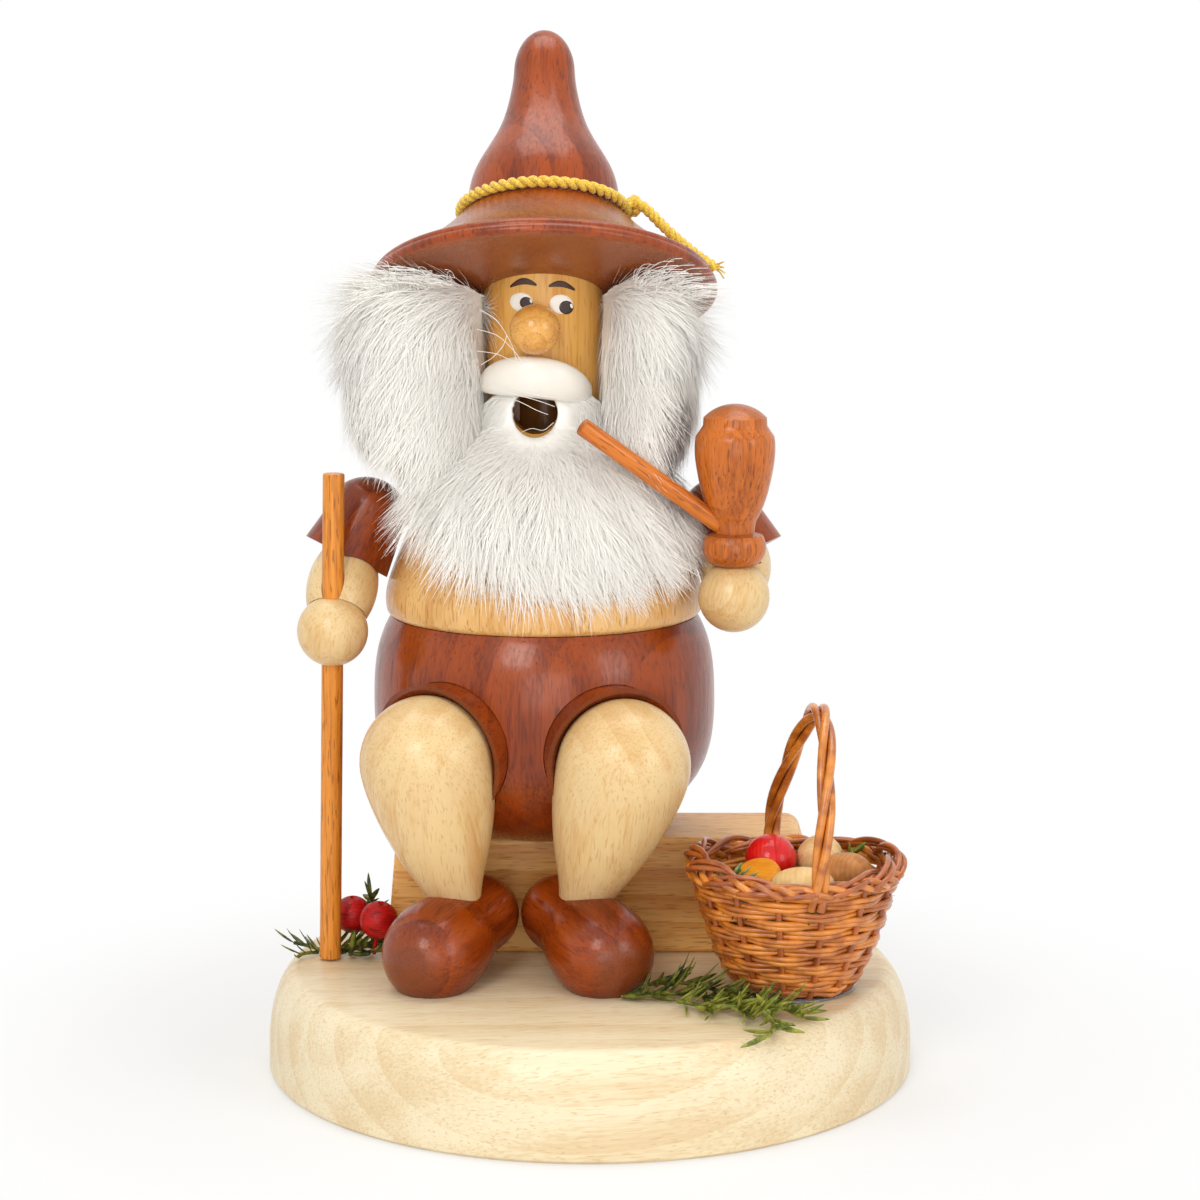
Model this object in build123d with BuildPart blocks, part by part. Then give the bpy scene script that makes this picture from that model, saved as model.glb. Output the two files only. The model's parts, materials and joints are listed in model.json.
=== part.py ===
from build123d import *
import os
from math import asin, atan2, cos, degrees, hypot, radians, sin, tan

# A seated wooden incense smoker: a turned figure on a bench, with a walking stick, a pipe and a
# small basket, all on a round base. Lengths are in millimetres. The origin is the centre of the
# base's underside, +Z is up and the figure looks towards -Y, so its right arm is on the -X side.

os.makedirs("parts", exist_ok=True)

# Shared clearances
glue_gap = 0.1
rest_gap = 0.3
overrun = 2.0

# The small bevel on the ends of the stick and the stem
dowel_bevel = 0.2

# The rounding of every turned oval: its end cap's radius as a share of its widest radius
oval_cap_share = 0.75

# Base plate
base_radius = 60.0
base_height = 18.5
base_round_width = 6.0
base_round_height = 14.0
base_foot_chamfer = 0.6

# Bench
bench_x = 2.0
bench_front_y = 4.6
bench_length = 81.0
bench_depth = 21.8
bench_height = 22.3
bench_end_angle = 5.0
bench_corner_round = 3.0
bench_edge_round = 1.0
bench_dowel_spread = 56.0
bench_dowel_radius = 3.0
bench_dowel_depth = 6.0

# Figure axis and its turn towards the right arm
figure_x = -8.7
figure_y = 16.0
figure_turn_angle = 5.0

# Trousers: outline shares are of the widest radius and of the height
trousers_radius = 32.3
trousers_height = 41.2
trousers_outline_shares = (
    (0.44, 0.0), (0.76, 0.13), (0.935, 0.30), (1.0, 0.64), (0.97, 0.86), (0.895, 1.0),
)
spigot_height = 4.0
spigot_chamfer = 0.4
plate_recess_radius = 12.5
plate_recess_depth = 3.0
seat_dowel_radius = 3.0
seat_dowel_depth = 8.0

# Incense plate and its nail
plate_thickness = 0.5
plate_rim_height = 2.4
plate_flare = 1.4
nail_radius = 0.8
nail_head_radius = 1.8
nail_head_height = 0.8
nail_length = 7.0

# Thighs: short cups turned as cones
thigh_splay_angle = 28.0
thigh_drop_angle = 12.0
thigh_reach = 34.5
thigh_rim_height = 19.8
thigh_length = 10.0
thigh_rim_radius = 13.4
thigh_back_radius = 10.7
thigh_mouth_radius = 12.5
thigh_mouth_depth = 4.0
leg_dowel_radius = 2.0
leg_dowel_length = 16.0

# Lower legs: outline shares are of the knee's radius and of the leg's length
knee_radius = 12.0
knee_lead = 3.6
ankle_radius = 4.7
ankle_tenon_length = 1.6
leg_outline_shares = ((1.0, 0.0), (0.955, 0.21), (0.84, 0.44), (0.65, 0.69))
right_ankle_offset = -15.8
left_ankle_offset = 7.6
ankle_reach = 26.6
ankle_height = 14.5

# Shoes: outline shares are of the toe's radius and of the distance from heel to toe
shoe_heel_radius = 7.3
shoe_toe_radius = 8.7
shoe_pitch = 14.2
shoe_toe_length = 11.0
shoe_splay_angle = 30.0
shoe_drop_angle = 13.0
shoe_waist_shares = ((0.70, 0.36), (0.87, 0.70))
right_heel_offset = -11.8
left_heel_offset = 3.3
heel_reach = 21.0
heel_height = 10.3

# Torso: outline shares are of the foot's radius and of the height
torso_radius = 29.4
torso_height = 32.0
torso_outline_shares = (
    (1.0, 0.0), (1.015, 0.14), (0.965, 0.29), (0.89, 0.46), (0.80, 0.64), (0.68, 0.82),
    (0.52, 0.95), (0.44, 1.0),
)
torso_foot_round = 1.6
chamber_radius = 16.0
chamber_taper_height = 8.0
neck_socket_radius = 8.0
neck_socket_depth = 4.0

# Head and its smoke bores
head_radius = 11.2
head_height = 27.6
smoke_bore_radius = 4.5
smoke_bore_above_mouth = 1.5
mouth_radius = 4.2
mouth_offset = -1.4
mouth_rise = 7.1

# Nose and moustache
nose_radius = 4.6
nose_offset = -1.25
nose_rise = 22.4
nose_stand = 3.5
nose_tenon_radius = 1.6
nose_tenon_length = 4.0
moustache_half_angle = 50.0
moustache_height = 7.6
moustache_thickness = 3.8
moustache_gap = 0.75
moustache_tilt_angle = 14.0
moustache_offset = -1.1
moustache_rise = 13.6
moustache_end_share = 0.46
moustache_middle_share = 0.90

# Hat: crown shares are of the crown's radius and of its height above the brim
hat_tilt_angle = 23.0
brim_radius = 32.5
brim_face = 2.2
brim_edge_height = 3.5
brim_top_radius = 30.8
brim_neck_radius = 15.6
brim_neck_height = 15.0
crown_radius = 14.3
crown_height = 37.3
crown_shares = (
    (0.993, 0.086), (0.923, 0.212), (0.748, 0.343), (0.573, 0.475), (0.455, 0.635),
    (0.406, 0.769), (0.364, 0.885), (0.231, 0.965),
)
hat_dowel_radius = 3.0
hat_dowel_depth = 7.0

# Hat cord: a ring round the crown, a knot and a tail down the brim
cord_radius = 1.0
knot_radius = 1.9
cord_tail_angle = 5.0
cord_opening_angle = 6.0
cord_tail_over = 1.3

# Hair and beard: plain closed forms, trimmed to what they lie against
right_hair_radius = 18.5
right_hair_half_depth = 24.0
right_hair_offset = -20.8
left_hair_radius = 16.5
left_hair_half_depth = 23.0
left_hair_offset = 15.0
hair_back = 4.0
hair_rise = 14.0
face_half_width = 11.7
face_depth = 12.0
beard_half_angle = 57.0
beard_rise = 2.5
beard_outer_shares = (
    (0.60, 1.0), (0.75, 0.87), (0.86, 0.70), (0.955, 0.50), (1.0, 0.31), (0.99, 0.14), (0.955, 0.03),
)
beard_radius = 31.6
beard_height = 29.6
beard_hem_shares = (
    (-0.896, 0.135), (-0.880, -0.203), (-0.627, -0.524), (-0.342, -0.743), (0.149, -0.892),
    (0.560, -0.804), (0.861, -0.676), (0.987, -0.372), (1.035, 0.135),
)

# Sleeves: cones that are domed at the shoulder
sleeve_offset = 37.0
sleeve_front = 4.0
sleeve_fall = 20.8
sleeve_spread_angle = 27.5
sleeve_forward_angle = 10.0
sleeve_cuff_radius = 8.5
sleeve_top_radius = 6.6
sleeve_length = 12.3
sleeve_dome_height = 3.6
shoulder_dowel_radius = 1.8
shoulder_dowel_depth = 5.0
shoulder_share = 0.68

# Forearms, hands
hand_radius = 6.55
forearm_radius = 6.6
forearm_half_length = 10.5
forearm_centre = 9.6
elbow_drop = 1.8
right_hand_offset = -38.75
right_hand_reach = 15.5
right_hand_fall = 33.0
left_hand_offset = 35.1
left_hand_reach = 18.0
left_hand_fall = 26.2
wrist_dowel_radius = 1.0
wrist_dowel_length = 6.0
wrist_dowel_in_hand = 1.4
elbow_dowel_radius = 1.5
elbow_dowel_length = 8.0
elbow_dowel_in_arm_share = 0.75

# Walking stick
stick_radius = 2.0
stick_over_hand = 29.2
stick_lean_angle = 1.2

# Pipe: bowl outline shares are of the bowl's radius and of its height
bowl_radius = 7.35
pipe_foot_radius = 5.8
bowl_height = 29.6
pipe_foot_over_hand = 5.8
bowl_outline_shares = (
    (0.47, 0.0), (0.70, 0.04), (0.785, 0.13), (0.70, 0.19), (0.50, 0.205), (0.53, 0.27),
    (0.76, 0.40), (0.93, 0.57), (1.0, 0.72), (0.975, 0.80), (0.80, 0.865), (0.785, 0.915),
)
pipe_spigot_radius = 1.5
pipe_spigot_length = 3.0
stem_radius = 1.65
stem_mouth_offset = 7.3
stem_mouth_reach = 26.0
stem_mouth_rise = 5.9
stem_seat_height = 5.6
stem_seat_depth = 2.6

# Basket
basket_x = 37.0
basket_y = -17.5
basket_foot_radius = 9.2
basket_rim_radius = 18.9
basket_wall_height = 21.6
basket_wall_thickness = 1.5
basket_wall_shares = ((0.66, 0.20), (0.79, 0.42), (0.90, 0.67))
basket_glue_height = 0.4
basket_floor_thickness = 1.5
border_radius = 1.6
osier_radius = 0.85
osier_pitch_share = 1.85
handle_turn_angle = 8.5
handle_span = 37.4
handle_rise = 26.4
handle_lean_angle = 6.0
moss_height = 17.2

# What the basket holds: places are shares of the basket's rim radius, from its middle
red_fruit_radius = 4.5
red_fruit_shares = (-0.21, 0.30)
orange_fruit_radius = 4.2
orange_fruit_shares = (-0.37, -0.19)
pale_fruit_radius = 4.3
pale_fruit_shares = (0.27, 0.37)
bun_radius = 4.7
bun_shares = (0.54, -0.10)
loaf_radius = 3.6
loaf_half_length = 5.6
loaf_shares = (0.04, -0.53)

# Sprigs: places and lifts are shares of a reach from the basket's middle or the stick's foot
twig_radius = 0.6
twig_bare_length = 6.0
needle_radius = 0.55
needle_taper_share = 0.7
needle_length = 5.2
needle_angle = 42.0
needle_step = 3.2
needle_low_angle = 4.0
needle_high_angle = 30.0
basket_sprig_reach = 30.0
basket_sprig_shares = (
    (
        (-1.03, -0.32, 0), (-0.83, -0.24, 0), (-0.62, -0.28, 0.02), (-0.43, -0.38, 0.02),
        (-0.28, -0.52, 0), (-0.23, -0.72, 0), (-0.28, -0.90, 0),
    ),
    ((-0.43, -0.38, 0.02), (-0.57, -0.15, 0.05), (-0.74, 0.02, 0.10)),
    ((-0.43, -0.38, 0.02), (-0.63, -0.63, 0)),
)
berry_sprig_reach = 10.0
berry_sprig_shares = (
    ((-0.20, 0.55, 0), (-0.57, 0.66, 0)),
    ((-0.20, 0.55, 0), (0.32, 0.35, 0), (0.62, -0.35, 0)),
)

# Berries on wires
berry_radius = 3.6
berry_shares = ((0.69, -0.01, 0.65), (0.30, 0.66, 0.58))
wire_radius = 0.5
tuft_shares = (0.70, 0.48, 0)
tuft_height = 10.0
tuft_tilt_angle = 28.0
tuft_count = 5

# Places that follow from the sizes above: the figure's pieces are placed from its axis and neck
seat_z = base_height + bench_height
waist_z = seat_z + trousers_height
neck_z = waist_z + torso_height
chamber_height = torso_height - neck_socket_depth
front_of_head_y = figure_y - head_radius
mouth_x = figure_x + mouth_offset
mouth_z = neck_z + mouth_rise
nose_x = figure_x + nose_offset
nose_z = neck_z + nose_rise
moustache_x = figure_x + moustache_offset
moustache_z = neck_z + moustache_rise
sleeve_y = figure_y - sleeve_front
sleeve_z = neck_z - sleeve_fall
pipe_foot_z = neck_z - left_hand_fall + pipe_foot_over_hand


def section_of(seat):
    """The plane of a turned piece's outline: x is its radius, y the height along the seat's axis."""
    return Plane(origin=seat.origin, x_dir=seat.x_dir, z_dir=-seat.y_dir)


def turning_axis(seat):
    return Axis(seat.origin, seat.z_dir)


def aimed(start, end):
    """A seat at start whose axis runs towards end."""
    return Plane(origin=start, z_dir=Vector(*end) - Vector(*start))


def turned(seat, outline):
    """A solid turned from an outline that starts and ends on the seat's axis."""
    with BuildPart() as body:
        with BuildSketch(section_of(seat)):
            with BuildLine():
                Polyline(*outline, close=True)
            make_face()
        revolve(axis=turning_axis(seat))
    return body.part


def rod(seat, radius, length):
    """A plain dowel that starts at the seat."""
    with BuildPart(seat) as body:
        Cylinder(radius, length, align=(Align.CENTER, Align.CENTER, Align.MIN))
    return body.part


def ball(centre, radius):
    with BuildPart(Plane(origin=centre)) as body:
        Sphere(radius)
    return body.part


def oval(radius, half_length):
    """The three tangent arcs of an oval: its cap's radius, its flank's radius and where they meet."""
    cap = radius * oval_cap_share
    flank = (radius**2 - cap**2 + (half_length - cap) ** 2) / (2 * (radius - cap))
    return cap, flank, degrees(atan2(half_length - cap, flank - radius))


def egg(seat, radius, half_length):
    """A turned egg whose middle is at the seat."""
    cap, flank, meeting = oval(radius, half_length)
    with BuildPart() as body:
        with BuildSketch(section_of(seat)):
            with BuildLine():
                CenterArc((0, cap - half_length), cap, start_angle=-90, arc_size=90 - meeting)
                CenterArc((radius - flank, 0), flank, start_angle=-meeting, arc_size=meeting * 2)
                CenterArc((0, half_length - cap), cap, start_angle=meeting, arc_size=90 - meeting)
                Line((0, half_length), (0, -half_length))
            make_face()
        revolve(axis=turning_axis(seat))
    return body.part


def cap_radius(radius, height):
    """The sphere whose cap has this radius at its foot and this height."""
    return (radius**2 + height**2) / (2 * height)


def joined(first, second):
    """Two separate dowels in one node."""
    return Compound(children=[first, second])


def shares_of(shares, radius, height):
    return [(radius * share, height * level) for share, level in shares]


figure_seat = Plane(origin=(figure_x, figure_y, seat_z))
waist_seat = Plane(origin=(figure_x, figure_y, waist_z))
neck_seat = Plane(origin=(figure_x, figure_y, neck_z))
hat_seat = Plane(
    origin=(figure_x, figure_y, neck_z + head_height),
    x_dir=(1, 0, 0),
    z_dir=(0, sin(radians(hat_tilt_angle)), cos(radians(hat_tilt_angle))),
)

# Base plate: flat underside, upright wall and an elliptical shoulder
with BuildPart() as base_plate:
    with BuildSketch(Plane.XZ):
        with BuildLine():
            Polyline(
                (0, 0),
                (base_radius - base_foot_chamfer, 0),
                (base_radius, base_foot_chamfer),
                (base_radius, base_height - base_round_height),
            )
            EllipticalCenterArc(
                (base_radius - base_round_width, base_height - base_round_height),
                base_round_width,
                base_round_height,
                start_angle=0,
                arc_size=90,
            )
            Polyline((base_radius - base_round_width, base_height), (0, base_height), (0, 0))
        make_face()
    revolve(axis=Axis.Z)
    with BuildSketch(Plane.XY.offset(base_height)):
        with Locations((bench_x, bench_front_y + bench_depth / 2)):
            with GridLocations(bench_dowel_spread, 0, 2, 1):
                Circle(bench_dowel_radius + glue_gap)
    extrude(amount=-bench_dowel_depth, mode=Mode.SUBTRACT)
base_plate.part.label = "base_plate"

# Bench: a planed bar whose ends lean in and are rounded at the top
with BuildPart() as bench:
    with BuildSketch(Plane.XZ.offset(-bench_front_y - bench_depth)):
        with Locations((bench_x, base_height)):
            Trapezoid(
                bench_length, bench_height, 90 - bench_end_angle, align=(Align.CENTER, Align.MIN)
            )
        fillet(vertices().group_by(Axis.Y)[-1], bench_corner_round)
    extrude(amount=bench_depth)
    fillet(faces().sort_by(Axis.Z)[-1].edges().filter_by(Axis.X), bench_edge_round)
    fillet(faces().sort_by(Axis.Z)[0].edges().filter_by(Axis.X), bench_edge_round)
    with BuildSketch(Plane.XY.offset(base_height)):
        with Locations((bench_x, bench_front_y + bench_depth / 2)):
            with GridLocations(bench_dowel_spread, 0, 2, 1):
                Circle(bench_dowel_radius + glue_gap)
    extrude(amount=bench_dowel_depth, mode=Mode.SUBTRACT)
    with BuildSketch(figure_seat):
        Circle(seat_dowel_radius + glue_gap)
    extrude(amount=-seat_dowel_depth, mode=Mode.SUBTRACT)
bench.part.label = "bench"

with BuildPart() as bench_dowels:
    with BuildSketch(Plane.XY.offset(base_height - bench_dowel_depth)):
        with Locations((bench_x, bench_front_y + bench_depth / 2)):
            with GridLocations(bench_dowel_spread, 0, 2, 1):
                Circle(bench_dowel_radius)
    extrude(amount=bench_dowel_depth * 2)
bench_dowels.part.label = "bench_dowels"

with BuildPart() as seat_dowel:
    with BuildSketch(figure_seat.offset(-seat_dowel_depth)):
        Circle(seat_dowel_radius)
    extrude(amount=seat_dowel_depth * 2)
seat_dowel.part.label = "seat_dowel"


def heading(side):
    """The compass angle of a leg, from straight ahead towards +X; side is -1 for the right leg."""
    return side * thigh_splay_angle - figure_turn_angle


def leg_direction(side):
    turn = radians(heading(side))
    drop = radians(thigh_drop_angle)
    return Vector(sin(turn) * cos(drop), -cos(turn) * cos(drop), -sin(drop))


def thigh_rim(side):
    turn = radians(heading(side))
    return Vector(
        figure_x + sin(turn) * thigh_reach,
        figure_y - cos(turn) * thigh_reach,
        seat_z + thigh_rim_height,
    )


def thigh_seat(side):
    """The seat at the cup's back, with its axis towards the knee."""
    direction = leg_direction(side)
    return Plane(origin=thigh_rim(side) - direction * thigh_length, z_dir=direction)


def thigh_cone(side, gap):
    return turned(
        thigh_seat(side),
        (
            (0, -gap),
            (thigh_back_radius + gap, -gap),
            (thigh_rim_radius + gap, thigh_length),
            (0, thigh_length),
        ),
    )


def knee_centre(side):
    return thigh_rim(side) + leg_direction(side) * knee_lead


def ankle_centre(side):
    offset = right_ankle_offset if side < 0 else left_ankle_offset
    return Vector(figure_x + offset, figure_y - ankle_reach, base_height + ankle_height)


def leg_form(side, gap):
    """A pear, moved out by gap: a round knee that tapers to the ankle, and a tenon for the shoe."""
    seat = aimed(knee_centre(side), ankle_centre(side))
    length = (ankle_centre(side) - knee_centre(side)).length
    with BuildPart() as leg:
        with BuildSketch(section_of(seat)):
            with BuildLine():
                CenterArc((0, 0), knee_radius + gap, start_angle=-90, arc_size=90)
                sides = Spline(
                    *[
                        (radius + gap, height)
                        for radius, height in shares_of(leg_outline_shares, knee_radius, length)
                    ],
                    (ankle_radius + gap, length),
                    tangents=[(0, 1), (ankle_radius - knee_radius, length)],
                )
                Polyline(
                    sides @ 1,
                    (ankle_radius + gap, length + ankle_tenon_length + gap),
                    (0, length + ankle_tenon_length + gap),
                    (0, -knee_radius - gap),
                )
            make_face()
        revolve(axis=turning_axis(seat))
    return leg.part


# Trousers: a turned barrel with a spigot that centres the torso and holds the incense plate
thigh_rooms = [thigh_cone(side, glue_gap) for side in (-1, 1)]
dowel_rooms = [
    rod(thigh_seat(side).offset(-leg_dowel_length / 2), leg_dowel_radius + glue_gap, leg_dowel_length)
    for side in (-1, 1)
]
leg_rooms = [leg_form(side, rest_gap) for side in (-1, 1)]
with BuildPart() as trousers:
    with BuildSketch(section_of(figure_seat)):
        with BuildLine():
            sides = Spline(*shares_of(trousers_outline_shares, trousers_radius, trousers_height))
            Polyline(sides @ 1, (0, trousers_height), (0, 0), sides @ 0)
        make_face()
    revolve(axis=turning_axis(figure_seat))
    with BuildSketch(waist_seat):
        Circle(chamber_radius - rest_gap)
    extrude(amount=spigot_height)
    chamfer(edges().sort_by(Axis.Z)[-1], spigot_chamfer)
    with BuildSketch(waist_seat.offset(spigot_height)):
        Circle(plate_recess_radius)
    extrude(amount=-plate_recess_depth, mode=Mode.SUBTRACT)
    with BuildSketch(waist_seat.offset(spigot_height)):
        Circle(nail_radius + glue_gap)
    extrude(amount=-plate_recess_depth - nail_length, mode=Mode.SUBTRACT)
    with BuildSketch(figure_seat):
        Circle(seat_dowel_radius + glue_gap)
    extrude(amount=seat_dowel_depth, mode=Mode.SUBTRACT)
    add(thigh_rooms, mode=Mode.SUBTRACT)
    add(dowel_rooms, mode=Mode.SUBTRACT)
    add(leg_rooms, mode=Mode.SUBTRACT)
trousers.part.label = "trousers"

# Incense plate: a shallow pressed dish, held by one nail
plate_seat = waist_seat.offset(spigot_height - plate_recess_depth)
with BuildPart() as incense_plate:
    with BuildSketch(section_of(plate_seat)):
        with BuildLine():
            Polyline(
                (0, 0),
                (plate_recess_radius - glue_gap - plate_flare - plate_thickness, 0),
                (plate_recess_radius - glue_gap, plate_rim_height),
                (plate_recess_radius - glue_gap - plate_thickness, plate_rim_height),
                (plate_recess_radius - glue_gap - plate_flare - plate_thickness * 2, plate_thickness),
                (0, plate_thickness),
                close=True,
            )
        make_face()
    revolve(axis=turning_axis(plate_seat))
    with BuildSketch(plate_seat):
        Circle(nail_radius + glue_gap)
    extrude(amount=plate_thickness, mode=Mode.SUBTRACT)
incense_plate.part.label = "incense_plate"

with BuildPart() as plate_nail:
    with BuildSketch(plate_seat.offset(plate_thickness)):
        Circle(nail_head_radius)
    extrude(amount=nail_head_height)
    fillet(edges().sort_by(Axis.Z)[-1], nail_head_height / 2)
    with BuildSketch(plate_seat.offset(plate_thickness)):
        Circle(nail_radius)
    extrude(amount=-nail_length)
plate_nail.part.label = "plate_nail"


def thigh_cup(side, label):
    """A turned cup, hollowed to take the knee and flared at its mouth."""
    seat = thigh_seat(side)
    cone = thigh_cone(side, 0)
    leg_room = leg_form(side, glue_gap)
    dowel_room = rod(seat.offset(-overrun), leg_dowel_radius + glue_gap, thigh_length)
    with BuildPart() as cup:
        add(cone)
        add(leg_room, mode=Mode.SUBTRACT)
        with BuildSketch(section_of(seat)):
            with BuildLine():
                Polyline(
                    (0, thigh_length - thigh_mouth_depth),
                    (thigh_back_radius - overrun, thigh_length - thigh_mouth_depth),
                    (thigh_mouth_radius, thigh_length),
                    (thigh_mouth_radius, thigh_length + overrun),
                    (0, thigh_length + overrun),
                    close=True,
                )
            make_face()
        revolve(axis=turning_axis(seat), mode=Mode.SUBTRACT)
        add(dowel_room, mode=Mode.SUBTRACT)
    cup.part.label = label
    return cup.part


right_thigh_cup = thigh_cup(-1, "right_thigh_cup")
left_thigh_cup = thigh_cup(1, "left_thigh_cup")

leg_dowels = joined(
    *[
        rod(thigh_seat(side).offset(-leg_dowel_length / 2), leg_dowel_radius, leg_dowel_length)
        for side in (-1, 1)
    ]
)
leg_dowels.label = "leg_dowels"


def lower_leg(side, label):
    form = leg_form(side, 0)
    dowel_room = rod(
        thigh_seat(side).offset(-leg_dowel_length / 2), leg_dowel_radius + glue_gap, leg_dowel_length
    )
    with BuildPart() as leg:
        add(form)
        add(dowel_room, mode=Mode.SUBTRACT)
    leg.part.label = label
    return leg.part


right_lower_leg = lower_leg(-1, "right_lower_leg")
left_lower_leg = lower_leg(1, "left_lower_leg")


def shoe(side, label):
    """A turned shoe with a round heel and a fuller toe, cut flat for a sole."""
    turn = radians(side * shoe_splay_angle)
    drop = radians(shoe_drop_angle)
    offset = right_heel_offset if side < 0 else left_heel_offset
    seat = Plane(
        origin=(figure_x + offset, figure_y - heel_reach, base_height + heel_height),
        z_dir=(sin(turn) * cos(drop), -cos(turn) * cos(drop), -sin(drop)),
    )
    leg_room = leg_form(side, glue_gap)
    cap, flank, meeting = oval(shoe_toe_radius, shoe_toe_length)
    with BuildPart() as body:
        with BuildSketch(section_of(seat)):
            with BuildLine():
                CenterArc((0, 0), shoe_heel_radius, start_angle=-90, arc_size=90)
                Spline(
                    (shoe_heel_radius, 0),
                    *shares_of(shoe_waist_shares, shoe_toe_radius, shoe_pitch),
                    (shoe_toe_radius, shoe_pitch),
                    tangents=[(0, 1), (0, 1)],
                )
                CenterArc((shoe_toe_radius - flank, shoe_pitch), flank, start_angle=0, arc_size=meeting)
                CenterArc(
                    (0, shoe_pitch + shoe_toe_length - cap),
                    cap,
                    start_angle=meeting,
                    arc_size=90 - meeting,
                )
                Line((0, shoe_pitch + shoe_toe_length), (0, -shoe_heel_radius))
            make_face()
        revolve(axis=turning_axis(seat))
        split(bisect_by=Plane.XY.offset(base_height), keep=Keep.TOP)
        add(leg_room, mode=Mode.SUBTRACT)
    body.part.label = label
    return body.part


right_shoe = shoe(-1, "right_shoe")
left_shoe = shoe(1, "left_shoe")


def torso_outline(gap):
    """The torso's side, from the waist up, moved out by gap."""
    return [
        (radius + gap, height)
        for radius, height in shares_of(torso_outline_shares, torso_radius, torso_height)
    ]


def torso_core(gap):
    """The torso as one full solid, moved out by gap."""
    with BuildPart() as body:
        with BuildSketch(section_of(waist_seat)):
            with BuildLine():
                sides = Spline(*torso_outline(gap))
                Polyline(sides @ 1, (sides @ 1) + Vector(0, gap), (0, torso_height + gap), (0, 0), sides @ 0)
            make_face()
        revolve(axis=turning_axis(waist_seat))
    return body.part


def sleeve_seat(side):
    """The seat at the cuff, with its axis up the sleeve to the shoulder."""
    spread = radians(sleeve_spread_angle)
    forward = radians(sleeve_forward_angle)
    return Plane(
        origin=(figure_x + side * sleeve_offset, sleeve_y, sleeve_z),
        z_dir=(-side * sin(spread) * cos(forward), sin(forward), cos(spread) * cos(forward)),
    )


def sleeve_cone(side, gap):
    """The sleeve as one full solid, moved out by gap."""
    seat = sleeve_seat(side)
    with BuildPart() as body:
        with BuildSketch(section_of(seat)):
            with BuildLine():
                Polyline(
                    (0, -gap),
                    (sleeve_cuff_radius + gap, -gap),
                    (sleeve_top_radius + gap, sleeve_length),
                )
                dome_radius = cap_radius(sleeve_top_radius + gap, sleeve_dome_height + gap)
                dome_turn = degrees(asin((sleeve_top_radius + gap) / dome_radius))
                dome_top = sleeve_length + sleeve_dome_height + gap
                CenterArc(
                    (0, dome_top - dome_radius),
                    dome_radius,
                    start_angle=90 - dome_turn,
                    arc_size=dome_turn,
                )
                Line((0, dome_top), (0, -gap))
            make_face()
        revolve(axis=turning_axis(seat))
    return body.part


def shoulder_seat(side):
    """The seat inside the sleeve, with its axis level towards the torso's middle."""
    start = sleeve_seat(side).origin + sleeve_seat(side).z_dir * (sleeve_length * shoulder_share)
    return aimed(start, (figure_x, figure_y, start.Z))


def shoulder_dowel_length(side):
    """From the sleeve's middle line to its depth in the torso."""
    start = shoulder_seat(side).origin
    distance = hypot(start.X - figure_x, start.Y - figure_y)
    level = (start.Z - waist_z) / torso_height
    below = [pair for pair in torso_outline_shares if pair[1] <= level][-1]
    above = [pair for pair in torso_outline_shares if pair[1] > level][0]
    share = below[0] + (above[0] - below[0]) * (level - below[1]) / (above[1] - below[1])
    return distance - share * torso_radius + shoulder_dowel_depth


shoulder_rooms = [
    rod(shoulder_seat(side), shoulder_dowel_radius + glue_gap, shoulder_dowel_length(side))
    for side in (-1, 1)
]

# Torso: a turned bell, bored from below as the smoke chamber and open into the head
with BuildPart() as torso:
    with BuildSketch(section_of(waist_seat)):
        with BuildLine():
            sides = Spline(*torso_outline(0))
            Polyline(sides @ 1, (0, torso_height), (0, 0), sides @ 0)
        make_face()
    revolve(axis=turning_axis(waist_seat))
    fillet(edges().group_by(Axis.Z)[0], torso_foot_round)
    with BuildSketch(section_of(waist_seat)):
        with BuildLine():
            Polyline(
                (0, 0),
                (chamber_radius, 0),
                (chamber_radius, chamber_height - chamber_taper_height),
                (neck_socket_radius, chamber_height),
                (neck_socket_radius, torso_height),
                (0, torso_height),
                close=True,
            )
        make_face()
    revolve(axis=turning_axis(waist_seat), mode=Mode.SUBTRACT)
    add(shoulder_rooms, mode=Mode.SUBTRACT)
torso.part.label = "torso"

# Head: a turned cylinder with a tenon below, sawn at a slant for the hat and bored for the smoke
with BuildPart() as head:
    with BuildSketch(neck_seat):
        Circle(head_radius)
    extrude(amount=head_height + head_radius)
    split(bisect_by=hat_seat, keep=Keep.BOTTOM)
    with BuildSketch(neck_seat):
        Circle(neck_socket_radius - glue_gap)
    extrude(amount=-neck_socket_depth)
    with BuildSketch(neck_seat.offset(-neck_socket_depth)):
        Circle(smoke_bore_radius)
    bore_top_z = mouth_z + mouth_radius + smoke_bore_above_mouth
    extrude(amount=bore_top_z - neck_z + neck_socket_depth, mode=Mode.SUBTRACT)
    with BuildSketch(Plane(origin=(mouth_x, figure_y, mouth_z), x_dir=(1, 0, 0), z_dir=(0, -1, 0))):
        Circle(mouth_radius)
    extrude(amount=head_radius + overrun, mode=Mode.SUBTRACT)
    nose_hole_seat = Plane(origin=(nose_x, front_of_head_y, nose_z), x_dir=(1, 0, 0), z_dir=(0, 1, 0))
    with BuildSketch(nose_hole_seat.offset(-overrun)):
        Circle(nose_tenon_radius + glue_gap)
    extrude(amount=overrun + nose_tenon_length, mode=Mode.SUBTRACT)
    with BuildSketch(hat_seat):
        Circle(hat_dowel_radius + glue_gap)
    extrude(amount=-hat_dowel_depth, mode=Mode.SUBTRACT)
head.part.label = "head"

# Nose: a ball flattened at the back, with a tenon
with BuildPart() as nose:
    with Locations((nose_x, front_of_head_y - nose_stand, nose_z)):
        Sphere(nose_radius)
    split(bisect_by=nose_hole_seat, keep=Keep.BOTTOM)
    with BuildSketch(nose_hole_seat):
        Circle(nose_tenon_radius)
    extrude(amount=nose_tenon_length)
nose.part.label = "nose"

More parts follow.
